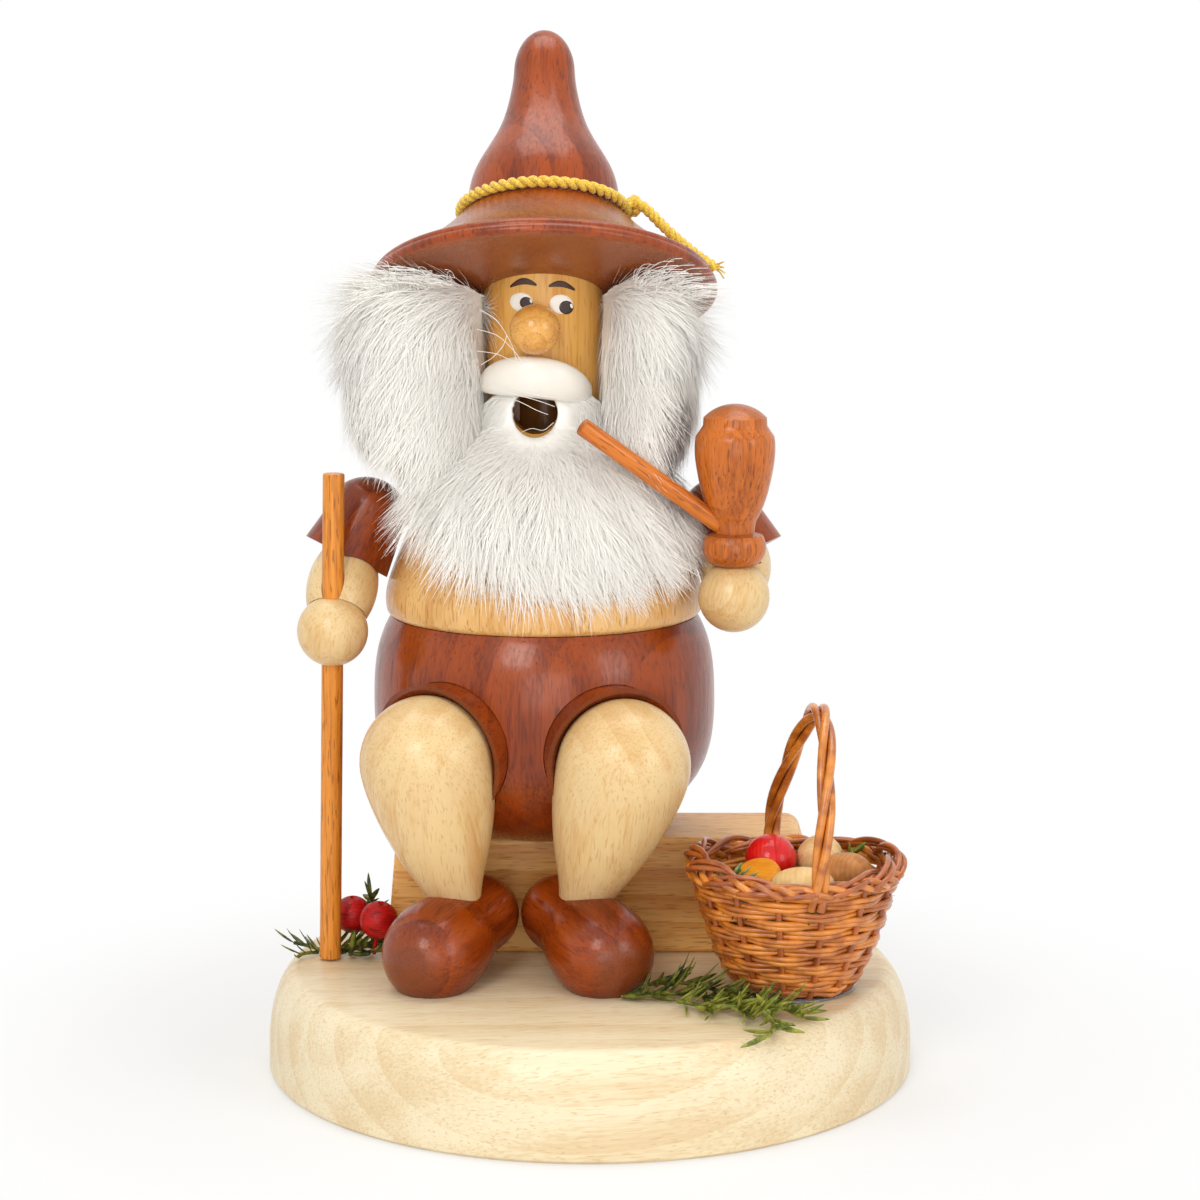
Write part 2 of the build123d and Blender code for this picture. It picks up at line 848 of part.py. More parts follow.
# Moustache: a curved bar that is highest in the middle and follows the head
moustache_drop = (head_radius * 2 + moustache_thickness) * sin(radians(moustache_tilt_angle))
with BuildPart() as moustache:
    for turn, share in (
        (-moustache_half_angle, moustache_end_share),
        (-moustache_half_angle / 2, moustache_middle_share),
        (0, 1),
        (moustache_half_angle / 2, moustache_middle_share),
        (moustache_half_angle, moustache_end_share),
    ):
        reach = head_radius + moustache_gap + moustache_thickness * share / 2
        across = radians(turn)
        centre = (
            moustache_x + sin(across) * reach,
            figure_y - cos(across) * reach,
            moustache_z - moustache_drop * (1 - cos(across)),
        )
        outward = Vector(sin(across), -cos(across), 0)
        onward = Vector(cos(across), sin(across), 0)
        with BuildSketch(Plane(origin=centre, x_dir=outward, z_dir=onward)):
            Ellipse(moustache_thickness * share / 2, moustache_height * share / 2)
    loft()
moustache.part.label = "moustache"

# Hat: a turned brim and crown on one axis that leans back
with BuildPart() as hat:
    with BuildSketch(section_of(hat_seat)):
        with BuildLine():
            Polyline((0, 0), (brim_radius - brim_face / 2, 0))
            ThreePointArc(
                (brim_radius - brim_face / 2, 0),
                (brim_radius, brim_face / 2),
                (brim_radius - brim_face / 4, brim_face),
            )
            edge_arc = ThreePointArc(
                (brim_radius - brim_face / 4, brim_face),
                ((brim_radius + brim_top_radius) / 2, brim_edge_height - brim_face / 6),
                (brim_top_radius, brim_edge_height),
            )
            SagittaArc(edge_arc @ 1, (brim_neck_radius, brim_neck_height), brim_face / 2)
            Line((brim_neck_radius, brim_neck_height), (crown_radius, brim_neck_height + brim_face / 2))
            crown = Spline(
                (crown_radius, brim_neck_height + brim_face / 2),
                *[
                    (crown_radius * share, brim_neck_height + brim_face / 2 + crown_height * level)
                    for share, level in crown_shares
                ],
                (0, brim_neck_height + brim_face / 2 + crown_height),
                tangents=[(0, 1), (-1, 0)],
            )
            Line(crown @ 1, (0, 0))
        make_face()
    revolve(axis=turning_axis(hat_seat))
    with BuildSketch(hat_seat):
        Circle(hat_dowel_radius + glue_gap)
    extrude(amount=hat_dowel_depth, mode=Mode.SUBTRACT)
hat.part.label = "hat"

with BuildPart() as hat_dowel:
    with BuildSketch(hat_seat.offset(-hat_dowel_depth)):
        Circle(hat_dowel_radius)
    extrude(amount=hat_dowel_depth * 2)
hat_dowel.part.label = "hat_dowel"


def hat_point(radius, angle, height):
    """A point on the hat: angle is from +X towards the hat's front."""
    return (
        hat_seat.origin
        + hat_seat.x_dir * (radius * cos(radians(angle)))
        - hat_seat.y_dir * (radius * sin(radians(angle)))
        + hat_seat.z_dir * height
    )


# Hat cord: it lies in the corner above the brim, its ends meet in the knot, and its tail runs
# down over the brim's edge
cord_ring_radius = crown_radius + cord_radius + rest_gap
cord_ring_height = brim_neck_height + cord_radius + rest_gap * 2
brim_fall = atan2(brim_neck_height - brim_edge_height, brim_top_radius - brim_neck_radius)
tail_lift = cord_radius + rest_gap
tail_end_radius = brim_top_radius + cord_tail_over
knot_place = hat_point(cord_ring_radius + cord_radius, cord_tail_angle, cord_ring_height + cord_radius)
tail_start = hat_point(cord_ring_radius + knot_radius, cord_tail_angle, cord_ring_height)
tail_end = hat_point(
    tail_end_radius + tail_lift * sin(brim_fall),
    cord_tail_angle,
    brim_neck_height
    - (tail_end_radius - brim_neck_radius) * tan(brim_fall)
    + tail_lift * cos(brim_fall),
)
tail_rod = rod(aimed(tail_start, tail_end), cord_radius, (tail_end - tail_start).length)
tail_tip = ball(tail_end, cord_radius)
with BuildPart(Plane(origin=knot_place, x_dir=-hat_seat.x_dir, z_dir=hat_seat.z_dir)) as knot:
    Sphere(knot_radius)
ring_start = radians(cord_tail_angle - cord_opening_angle / 2)
ring_seat = Plane(
    origin=hat_seat.origin,
    x_dir=hat_seat.x_dir * cos(ring_start) - hat_seat.y_dir * sin(ring_start),
    z_dir=hat_seat.z_dir,
)
with BuildPart() as hat_cord:
    with BuildSketch(section_of(ring_seat)):
        with Locations((cord_ring_radius, cord_ring_height)):
            Circle(cord_radius)
    revolve(axis=turning_axis(ring_seat), revolution_arc=360 - cord_opening_angle)
    add(knot.part)
    add(tail_rod)
    add(tail_tip)
hat_cord.part.label = "hat_cord"


def forearm_seat(side):
    """The seat at the forearm's middle, with its axis up to the elbow."""
    elbow = sleeve_seat(side).origin + sleeve_seat(side).z_dir * elbow_drop
    direction = (elbow - hand_centre(side)).normalized()
    return Plane(origin=hand_centre(side) + direction * forearm_centre, z_dir=direction)


def hand_centre(side):
    if side < 0:
        return Vector(
            figure_x + right_hand_offset, figure_y - right_hand_reach, neck_z - right_hand_fall
        )
    return Vector(figure_x + left_hand_offset, figure_y - left_hand_reach, neck_z - left_hand_fall)


def elbow_dowel_seat(side):
    seat = forearm_seat(side)
    return seat.offset(forearm_half_length - elbow_dowel_length * elbow_dowel_in_arm_share)


def sleeve(side, label):
    """A sleeve with a dished cuff for the forearm and a dowel hole for the torso."""
    cone = sleeve_cone(side, 0)
    forearm_room = egg(forearm_seat(side), forearm_radius + glue_gap, forearm_half_length + glue_gap)
    dowel_room = rod(shoulder_seat(side), shoulder_dowel_radius + glue_gap, shoulder_dowel_length(side))
    elbow_room = rod(elbow_dowel_seat(side), elbow_dowel_radius + glue_gap, elbow_dowel_length)
    with BuildPart() as body:
        add(cone)
        add(forearm_room, mode=Mode.SUBTRACT)
        add(elbow_room, mode=Mode.SUBTRACT)
        add(dowel_room, mode=Mode.SUBTRACT)
    body.part.label = label
    return body.part


right_sleeve = sleeve(-1, "right_sleeve")
left_sleeve = sleeve(1, "left_sleeve")

shoulder_dowels = joined(
    *[
        rod(shoulder_seat(side), shoulder_dowel_radius, shoulder_dowel_length(side))
        for side in (-1, 1)
    ]
)
shoulder_dowels.label = "shoulder_dowels"


def wrist_dowel_seat(side):
    seat = forearm_seat(side)
    return seat.offset(hand_radius - forearm_centre - wrist_dowel_in_hand)


def forearm(side, label, held_room):
    """An egg, hollowed at the wrist for the ball of the hand and grooved for what the hand holds."""
    body_egg = egg(forearm_seat(side), forearm_radius, forearm_half_length)
    hand_room = ball(hand_centre(side), hand_radius + glue_gap)
    elbow_room = rod(elbow_dowel_seat(side), elbow_dowel_radius + glue_gap, elbow_dowel_length)
    wrist_room = rod(wrist_dowel_seat(side), wrist_dowel_radius + glue_gap, wrist_dowel_length)
    with BuildPart() as body:
        add(body_egg)
        add(hand_room, mode=Mode.SUBTRACT)
        add(elbow_room, mode=Mode.SUBTRACT)
        add(wrist_room, mode=Mode.SUBTRACT)
        add(held_room, mode=Mode.SUBTRACT)
    body.part.label = label
    return body.part


stick_axis = Vector(sin(radians(stick_lean_angle)), 0, cos(radians(stick_lean_angle)))
stick_foot_z = base_height + rest_gap
stick_length = hand_centre(-1).Z - stick_foot_z + stick_over_hand
stick_foot = hand_centre(-1) - stick_axis * (stick_length - stick_over_hand)
stick_seat = Plane(origin=stick_foot, z_dir=stick_axis)
pipe_seat = Plane(origin=(hand_centre(1).X, hand_centre(1).Y, pipe_foot_z))
stick_room = rod(stick_seat, stick_radius + glue_gap, stick_length)
pipe_room = rod(pipe_seat.offset(-glue_gap), pipe_foot_radius + rest_gap, bowl_height)

right_forearm = forearm(-1, "right_forearm", stick_room)
left_forearm = forearm(1, "left_forearm", pipe_room)

elbow_dowels = joined(
    *[rod(elbow_dowel_seat(side), elbow_dowel_radius, elbow_dowel_length) for side in (-1, 1)]
)
elbow_dowels.label = "elbow_dowels"

wrist_dowels = joined(
    *[rod(wrist_dowel_seat(side), wrist_dowel_radius, wrist_dowel_length) for side in (-1, 1)]
)
wrist_dowels.label = "wrist_dowels"

# Walking stick: one dowel, held in the right hand, whose foot stands just over the base
with BuildPart() as walking_stick:
    with BuildSketch(stick_seat):
        Circle(stick_radius)
    extrude(amount=stick_length)
    chamfer(edges().filter_by(GeomType.CIRCLE), dowel_bevel)
walking_stick.part.label = "walking_stick"

right_wrist_room = rod(wrist_dowel_seat(-1), wrist_dowel_radius + glue_gap, wrist_dowel_length)
left_wrist_room = rod(wrist_dowel_seat(1), wrist_dowel_radius + glue_gap, wrist_dowel_length)

with BuildPart() as right_hand:
    with Locations(hand_centre(-1)):
        Sphere(hand_radius)
    with BuildSketch(stick_seat):
        Circle(stick_radius + glue_gap)
    extrude(amount=stick_length, mode=Mode.SUBTRACT)
    add(right_wrist_room, mode=Mode.SUBTRACT)
right_hand.part.label = "right_hand"

with BuildPart() as left_hand:
    with Locations(hand_centre(1)):
        Sphere(hand_radius)
    split(bisect_by=pipe_seat, keep=Keep.BOTTOM)
    with BuildSketch(pipe_seat):
        Circle(pipe_spigot_radius + glue_gap)
    extrude(amount=-pipe_spigot_length - glue_gap, mode=Mode.SUBTRACT)
    add(left_wrist_room, mode=Mode.SUBTRACT)
left_hand.part.label = "left_hand"

# Pipe: a turned bowl with a domed lid, a collar and a foot, and a straight stem
stem_mouth = Vector(
    figure_x + stem_mouth_offset, figure_y - stem_mouth_reach, neck_z + stem_mouth_rise
)
stem_goal = pipe_seat.origin + Vector(0, 0, stem_seat_height)
stem_direction = (stem_goal - stem_mouth).normalized()
stem_seat = Plane(origin=stem_mouth, z_dir=stem_direction)
stem_length = (stem_goal - stem_mouth).length - stem_seat_depth / 2
stem_room = rod(stem_seat, stem_radius + glue_gap, stem_length + glue_gap)
with BuildPart() as pipe_bowl:
    with BuildSketch(section_of(pipe_seat)):
        with BuildLine():
            bowl_points = shares_of(bowl_outline_shares, bowl_radius, bowl_height)
            foot_side = Spline(*bowl_points[:4])
            cup_side = Spline(*bowl_points[5:10])
            Line(foot_side @ 1, bowl_points[4])
            Line(bowl_points[4], cup_side @ 0)
            Line(cup_side @ 1, bowl_points[10])
            Line(bowl_points[10], bowl_points[11])
            lid_foot = bowl_points[11]
            lid_radius = cap_radius(lid_foot[0], bowl_height - lid_foot[1])
            lid_turn = degrees(asin(lid_foot[0] / lid_radius))
            CenterArc(
                (0, bowl_height - lid_radius), lid_radius, start_angle=90 - lid_turn, arc_size=lid_turn
            )
            Polyline((0, bowl_height), (0, 0), foot_side @ 0)
        make_face()
    revolve(axis=turning_axis(pipe_seat))
    with BuildSketch(pipe_seat):
        Circle(pipe_spigot_radius)
    extrude(amount=-pipe_spigot_length)
    add(stem_room, mode=Mode.SUBTRACT)
pipe_bowl.part.label = "pipe_bowl"

with BuildPart() as pipe_stem:
    with BuildSketch(stem_seat):
        Circle(stem_radius)
    extrude(amount=stem_length)
    chamfer(edges().filter_by(GeomType.CIRCLE).sort_by(Axis.Z)[-1], dowel_bevel)
pipe_stem.part.label = "pipe_stem"


def beard_form(gap):
    """A bib of fur round the front of the torso and neck, before its hem is cut."""
    turn = figure_turn_angle + beard_half_angle
    outer = [
        (radius + gap, height + gap)
        for radius, height in shares_of(beard_outer_shares, beard_radius, beard_height)
    ]
    beard_foot_z = neck_z + beard_rise - beard_height
    seat = Plane(
        origin=(figure_x, figure_y, beard_foot_z),
        x_dir=(-sin(radians(turn)), -cos(radians(turn)), 0),
        z_dir=(0, 0, 1),
    )
    with BuildPart() as body:
        with BuildSketch(section_of(seat)):
            with BuildLine():
                side = Spline(*outer)
                Polyline(side @ 1, (0, (side @ 1).Y), (0, (side @ 0).Y), side @ 0)
            make_face()
        revolve(axis=turning_axis(seat), revolution_arc=beard_half_angle * 2)
    return body.part


# Beard: the bib, trimmed to its hem and hollowed to lie on the torso and the neck
beard_blank = beard_form(0)
torso_room = torso_core(rest_gap)
sleeve_rooms = [sleeve_cone(side, rest_gap) for side in (-1, 1)]
head_room = rod(neck_seat.offset(-overrun), head_radius + rest_gap, head_height * 2)
with BuildPart() as beard:
    add(beard_blank)
    with BuildSketch(Plane.XZ.offset(-figure_y)):
        with BuildLine():
            hem = Spline(
                *[
                    (figure_x + beard_radius * share, neck_z + beard_height * level)
                    for share, level in beard_hem_shares
                ]
            )
            Line(hem @ 1, hem @ 0)
        make_face()
    extrude(amount=beard_radius * 2, mode=Mode.INTERSECT)
    add(torso_room, mode=Mode.SUBTRACT)
    add(head_room, mode=Mode.SUBTRACT)
    add(sleeve_rooms, mode=Mode.SUBTRACT)
beard.part.label = "beard"

beard_room = beard_form(rest_gap)
hat_underside = hat_seat.offset(-rest_gap)


def hair(side, label):
    """A tuft of fur from the face round to the back of the head, trimmed under the brim."""
    radius = right_hair_radius if side < 0 else left_hair_radius
    half_depth = right_hair_half_depth if side < 0 else left_hair_half_depth
    centre_x = figure_x + (right_hair_offset if side < 0 else left_hair_offset)
    tuft_seat = Plane(origin=(centre_x, figure_y + hair_back, neck_z + hair_rise), z_dir=(0, 1, 0))
    tuft = egg(tuft_seat, radius, half_depth)
    middle = Plane(origin=(figure_x + side * rest_gap / 2, figure_y, neck_z), z_dir=(side, 0, 0))
    cheek_width = face_half_width + figure_y
    with BuildPart() as body:
        add(tuft)
        split(bisect_by=hat_underside, keep=Keep.BOTTOM)
        split(bisect_by=middle, keep=Keep.TOP)
        with BuildSketch(Plane.XY.offset(neck_z - torso_height)):
            with Locations((figure_x + side * (face_half_width - cheek_width / 2), figure_y - half_depth)):
                Rectangle(cheek_width, half_depth * 2 - (figure_y - face_depth) * 2)
        extrude(amount=(torso_height + head_height) * 2, mode=Mode.SUBTRACT)
        add(head_room, mode=Mode.SUBTRACT)
        add(torso_room, mode=Mode.SUBTRACT)
        add(sleeve_rooms, mode=Mode.SUBTRACT)
        add(beard_room, mode=Mode.SUBTRACT)
    body.part.label = label
    return body.part


right_hair = hair(-1, "right_hair")
left_hair = hair(1, "left_hair")

# Basket: a bowl of woven osier with a rolled border and a handle of three rods
basket_floor_z = base_height + basket_glue_height
basket_seat = Plane(origin=(basket_x, basket_y, basket_floor_z))


def basket_side(inset):
    """The basket's side from foot to rim, moved in by inset."""
    return [
        (basket_foot_radius - inset, 0),
        *[
            (basket_rim_radius * share - inset, basket_wall_height * level)
            for share, level in basket_wall_shares
        ],
        (basket_rim_radius - inset, basket_wall_height),
    ]


with BuildPart() as basket_wall:
    with BuildSketch(section_of(basket_seat)):
        with BuildLine():
            outer_side = Spline(*basket_side(0))
            inner_side = Spline(*basket_side(basket_wall_thickness))
            Line(outer_side @ 1, inner_side @ 1)
            Line(outer_side @ 0, inner_side @ 0)
        make_face()
    revolve(axis=turning_axis(basket_seat))
basket_wall.part.label = "basket_wall"

with BuildPart() as basket_floor:
    with BuildSketch(basket_seat):
        Circle(basket_foot_radius - basket_wall_thickness)
    extrude(amount=basket_floor_thickness)
basket_floor.part.label = "basket_floor"

with BuildPart() as basket_glue:
    with BuildSketch(Plane(origin=(basket_x, basket_y, base_height))):
        Circle(basket_foot_radius)
    extrude(amount=basket_glue_height)
basket_glue.part.label = "basket_glue"

border_seat = basket_seat.offset(basket_wall_height + border_radius)
with BuildPart() as basket_border:
    with BuildSketch(section_of(border_seat)):
        with Locations((basket_rim_radius - basket_wall_thickness / 2, 0)):
            Circle(border_radius)
    revolve(axis=turning_axis(border_seat))
basket_border.part.label = "basket_border"

# Handle: three osier rods side by side, bent to one round arch over the border
handle_foot_z = basket_floor_z + basket_wall_height + border_radius * 2 + rest_gap
handle_radius = ((handle_span / 2) ** 2 + handle_rise**2) / (handle_rise * 2)
handle_across = Vector(cos(radians(handle_turn_angle)), -sin(radians(handle_turn_angle)), 0)
handle_along = Vector(-sin(radians(handle_turn_angle)), -cos(radians(handle_turn_angle)), 0)
handle_up = Vector(0, 0, cos(radians(handle_lean_angle))) + handle_across * sin(radians(handle_lean_angle))
handle_centre = Vector(basket_x, basket_y, handle_foot_z) + handle_up * (handle_rise - handle_radius)
handle_half_arc = 90 + degrees(atan2(handle_rise - handle_radius, handle_span / 2))
handle_plane = Plane(origin=handle_centre, x_dir=handle_along, z_dir=handle_along.cross(handle_up))
rods_pitch = osier_radius * osier_pitch_share
with BuildPart() as basket_handle:
    start_turn = radians(90 - handle_half_arc)
    foot_direction = handle_along * cos(start_turn) + handle_up * sin(start_turn)
    rods_plane = Plane(
        origin=handle_centre + foot_direction * handle_radius,
        x_dir=handle_plane.z_dir,
        z_dir=foot_direction.cross(handle_plane.z_dir),
    )
    with BuildSketch(rods_plane):
        with GridLocations(rods_pitch, 0, 3, 1):
            Circle(osier_radius)
    revolve(axis=Axis(handle_centre, handle_plane.z_dir), revolution_arc=handle_half_arc * 2)
basket_handle.part.label = "basket_handle"

# Moss fills the basket up to the fruit
with BuildPart() as basket_moss:
    with BuildSketch(section_of(basket_seat)):
        with BuildLine():
            moss_side = Spline(*basket_side(basket_wall_thickness + rest_gap))
            Line(moss_side @ 1, (0, basket_wall_height))
            Line((0, basket_wall_height), (0, 0))
            Line((0, 0), moss_side @ 0)
        make_face()
    revolve(axis=turning_axis(basket_seat))
    split(bisect_by=basket_seat.offset(moss_height), keep=Keep.BOTTOM)
    split(bisect_by=basket_seat.offset(basket_floor_thickness), keep=Keep.TOP)
basket_moss.part.label = "basket_moss"

# Fruit and bread lie on the moss
moss_top_z = basket_floor_z + moss_height + glue_gap


def in_basket(place_shares, radius):
    """Where a ball lies on the moss."""
    x_share, y_share = place_shares
    return Vector(
        basket_x + x_share * basket_rim_radius,
        basket_y + y_share * basket_rim_radius,
        moss_top_z + radius,
    )


with BuildPart() as red_fruit:
    with Locations(in_basket(red_fruit_shares, red_fruit_radius)):
        Sphere(red_fruit_radius)
red_fruit.part.label = "red_fruit"

with BuildPart() as orange_fruit:
    with Locations(in_basket(orange_fruit_shares, orange_fruit_radius)):
        Sphere(orange_fruit_radius)
orange_fruit.part.label = "orange_fruit"

with BuildPart() as pale_fruit:
    with Locations(in_basket(pale_fruit_shares, pale_fruit_radius)):
        Sphere(pale_fruit_radius)
pale_fruit.part.label = "pale_fruit"

with BuildPart() as bun:
    with Locations(in_basket(bun_shares, bun_radius)):
        Sphere(bun_radius)
bun.part.label = "bun"

loaf = egg(
    Plane(origin=in_basket(loaf_shares, loaf_radius), z_dir=(1, 0, 0)), loaf_radius, loaf_half_length
)
loaf.label = "loaf"


def needle(foot, direction, length):
    """One flat-sided needle that tapers to its tip."""
    with BuildPart() as leaf:
        with BuildSketch(Plane(origin=foot, z_dir=direction)):
            RegularPolygon(needle_radius, 4)
        extrude(amount=length, taper=degrees(atan2(needle_radius * needle_taper_share, length)))
    return leaf.part


def twig(points, bare_length):
    """A bent stem with a needle to each side at every step, and one at its tip."""
    pieces = []
    walked = 0.0
    for start, end in zip(points, points[1:]):
        run = end - start
        pieces.append(rod(aimed(start, end), twig_radius, run.length))
        pieces.append(ball(end, twig_radius))
        steps = max(1, round(run.length / needle_step))
        for step in range(steps):
            along = run.length * (step + 0.5) / steps
            if walked + along < bare_length:
                continue
            foot = start + run.normalized() * along
            tilt = radians(needle_low_angle if step % 2 else needle_high_angle)
            for hand in (-1, 1):
                turn = atan2(run.Y, run.X) + hand * radians(needle_angle)
                direction = (cos(turn) * cos(tilt), sin(turn) * cos(tilt), sin(tilt))
                pieces.append(needle(foot, direction, needle_length))
        walked += run.length
    tip_run = points[-1] - points[-2]
    pieces.append(needle(points[-1], tip_run, needle_length))
    return pieces


def route(origin, reach, shares):
    """Places on the base, as shares of a reach from an origin, and their heights over the base."""
    return [
        Vector(
            origin[0] + x_share * reach,
            origin[1] + y_share * reach,
            base_height + needle_radius + glue_gap + lift_share * reach,
        )
        for x_share, y_share, lift_share in shares
    ]


basket_twigs = [
    piece
    for shares in basket_sprig_shares
    for piece in twig(route((basket_x, basket_y), basket_sprig_reach, shares), 0)
]
with BuildPart() as basket_sprig:
    add(basket_twigs)
basket_sprig.part.label = "basket_sprig"

berry_twigs = [
    piece
    for shares in berry_sprig_shares
    for piece in twig(route((stick_foot.X, stick_foot.Y), berry_sprig_reach, shares), twig_bare_length)
]
with BuildPart() as berry_sprig:
    add(berry_twigs)
berry_sprig.part.label = "berry_sprig"

# Berries: two turned balls on wires that rise from the sprig, with a tuft of leaves behind them
berry_places = route((stick_foot.X, stick_foot.Y), berry_sprig_reach, berry_shares)
wire_foot_z = base_height + glue_gap


def berry(place):
    """A ball on its wire."""
    foot = Vector(place.X, place.Y, wire_foot_z)
    wire = rod(aimed(foot, place), wire_radius, place.Z - wire_foot_z)
    with BuildPart() as fruit:
        with Locations(place):
            Sphere(berry_radius)
        add(wire)
    return fruit.part


red_berries = joined(*[berry(place) for place in berry_places])
red_berries.label = "red_berries"

tuft_foot = route((stick_foot.X, stick_foot.Y), berry_sprig_reach, [tuft_shares])[0]
tuft_top = tuft_foot + Vector(0, 0, tuft_height)
tuft_stem = rod(aimed(tuft_foot, tuft_top), twig_radius, tuft_height)
tuft_spread = cos(radians(tuft_tilt_angle))
tuft_leaves = [
    needle(
        tuft_top,
        (cos(turn) * tuft_spread, sin(turn) * tuft_spread, sin(radians(tuft_tilt_angle))),
        needle_length,
    )
    for turn in [radians(360 * leaf / tuft_count) for leaf in range(tuft_count)]
]
with BuildPart() as berry_leaves:
    add(tuft_stem)
    add(tuft_leaves)
berry_leaves.part.label = "berry_leaves"

pieces = [
    base_plate.part, bench.part, bench_dowels.part, seat_dowel.part, trousers.part, incense_plate.part,
    plate_nail.part, right_thigh_cup, left_thigh_cup, leg_dowels, right_lower_leg, left_lower_leg,
    right_shoe, left_shoe, basket_glue.part, basket_floor.part, basket_wall.part, basket_border.part,
    basket_handle.part, basket_moss.part, red_fruit.part, orange_fruit.part, pale_fruit.part, bun.part, loaf,
    basket_sprig.part, berry_sprig.part, red_berries, berry_leaves.part, torso.part, head.part, nose.part,
    moustache.part, hat.part, hat_dowel.part, hat_cord.part, right_hair, left_hair, beard.part,
    right_sleeve, left_sleeve, shoulder_dowels, right_forearm, left_forearm, elbow_dowels,
    right_hand.part, left_hand.part, wrist_dowels, walking_stick.part, pipe_bowl.part, pipe_stem.part,
]
for piece in pieces:
    export_step(piece, f"parts/{piece.label}.step")
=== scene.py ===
import json
from contextlib import contextmanager
from math import atan2, cos, hypot, pi, radians, sin, sqrt
from types import SimpleNamespace

import bmesh
import bpy
import numpy as np
from mathutils import Matrix, Vector

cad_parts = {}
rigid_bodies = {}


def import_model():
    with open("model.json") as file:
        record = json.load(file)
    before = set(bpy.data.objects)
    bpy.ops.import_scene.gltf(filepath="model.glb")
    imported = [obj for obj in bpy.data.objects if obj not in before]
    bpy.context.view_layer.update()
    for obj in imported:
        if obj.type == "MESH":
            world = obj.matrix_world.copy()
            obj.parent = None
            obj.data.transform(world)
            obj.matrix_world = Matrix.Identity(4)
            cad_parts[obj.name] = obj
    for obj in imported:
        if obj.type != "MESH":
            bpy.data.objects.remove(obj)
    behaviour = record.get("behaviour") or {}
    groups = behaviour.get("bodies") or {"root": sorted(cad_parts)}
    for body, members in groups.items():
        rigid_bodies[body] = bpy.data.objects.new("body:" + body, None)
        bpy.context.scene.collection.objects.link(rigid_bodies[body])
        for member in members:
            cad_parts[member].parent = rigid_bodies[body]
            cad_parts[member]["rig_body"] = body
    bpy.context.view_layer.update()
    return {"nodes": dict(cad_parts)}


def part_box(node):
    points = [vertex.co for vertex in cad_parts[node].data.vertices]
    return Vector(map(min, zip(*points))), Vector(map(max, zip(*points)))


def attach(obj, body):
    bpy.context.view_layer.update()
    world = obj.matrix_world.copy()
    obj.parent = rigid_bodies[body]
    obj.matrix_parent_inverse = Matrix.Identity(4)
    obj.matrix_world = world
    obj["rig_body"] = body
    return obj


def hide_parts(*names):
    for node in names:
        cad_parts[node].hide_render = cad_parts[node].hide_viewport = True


# A seated wooden incense smoker on its round base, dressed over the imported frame. Sizes are written
# in millimetres and turned into metres by MM. The figure looks towards -Y, so its right is at -X.
MM = 0.001

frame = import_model()

BASE_TOP = 18.5
FIGURE = (-8.7, 16.0)
HEAD_RADIUS = 11.2
MOUTH = (-10.1, 121.1)
HAT_CENTRE = (-8.7, 16.0, 141.6)
HAT_TILT = radians(23)
HAT_AXIS = (0, sin(HAT_TILT), cos(HAT_TILT))
BRIM_SLOPE = 0.4245
BASKET = (37.0, -17.5)
BASKET_FOOT = 18.9
CREASE = radians(38)


def colour(tone):
    """A screen colour from 0 to 255, ready for a socket. What isn't a triple is left as it is."""
    if not isinstance(tone, tuple) or len(tone) != 3:
        return tone
    shares = (value / 255 for value in tone)
    return (*(v / 12.92 if v <= 0.04045 else ((v + 0.055) / 1.055) ** 2.4 for v in shares), 1.0)


def darker(tone, share):
    return (*(value * share for value in colour(tone)[:3]), 1.0)


# Node trees

class Output:
    """A node's output. Arithmetic on it adds nodes to its tree."""

    def __init__(self, socket):
        self.socket, self.tree = socket, socket.id_data

    def __add__(self, other):
        return number("ADD", self, other)

    def __sub__(self, other):
        return number("SUBTRACT", self, other)

    def __mul__(self, other):
        return number("MULTIPLY", self, other)

    def __truediv__(self, other):
        return number("DIVIDE", self, other)


def join(value, socket):
    """Feeds a socket with a node's output or with a plain value."""
    if isinstance(value, Output):
        value.tree.links.new(value.socket, socket)
    else:
        socket.default_value = value


def put(kind, feed=None, tree=None, output=0, **settings):
    """Adds a node and gives the outputs asked for. It goes into the tree of what feeds it."""
    feed = feed or {}
    tree = tree or next(value.tree for value in feed.values() if isinstance(value, Output))
    node = tree.nodes.new(kind)
    for name, value in settings.items():
        setattr(node, name, value)
    for name, value in feed.items():
        join(value, node.inputs[name])
    if isinstance(output, tuple):
        return [Output(node.outputs[name]) for name in output]
    return Output(node.outputs[output])


def number(operation, first, *others):
    """Arithmetic on numbers, taken in turn when there are more than two."""
    if not others:
        return put("ShaderNodeMath", {0: first}, operation=operation)
    for other in others:
        first = put("ShaderNodeMath", {0: first, 1: other}, operation=operation)
    return first


def vectors(operation, *values, output=0):
    feed = dict(enumerate(values))
    return put("ShaderNodeVectorMath", feed, output=output, operation=operation)


def length_of(vector):
    return vectors("LENGTH", vector, output="Value")


def scaled(vector, factor):
    return put("ShaderNodeVectorMath", {0: vector, "Scale": factor}, operation="SCALE")


def stretched(place, scale):
    return vectors("MULTIPLY", place, scale)


def xyz(*values):
    return put("ShaderNodeCombineXYZ", dict(enumerate(values)))


def between(value, low, high, to_low=0.0, to_high=1.0):
    """The value, spread smoothly from low and high to the new limits."""
    feed = {"Value": value, "From Min": low, "From Max": high, "To Min": to_low, "To Max": to_high}
    return put("ShaderNodeMapRange", feed, interpolation_type="SMOOTHSTEP")


def blended(share, first, second):
    feed = {0: share, 6: colour(first), 7: colour(second)}
    return put("ShaderNodeMix", feed, output=2, data_type="RGBA")


def noise(place, scale, detail=2.0, rough=0.5, output="Fac"):
    feed = {"Vector": place, "Scale": scale, "Detail": detail, "Roughness": rough}
    return put("ShaderNodeTexNoise", feed, output=output)


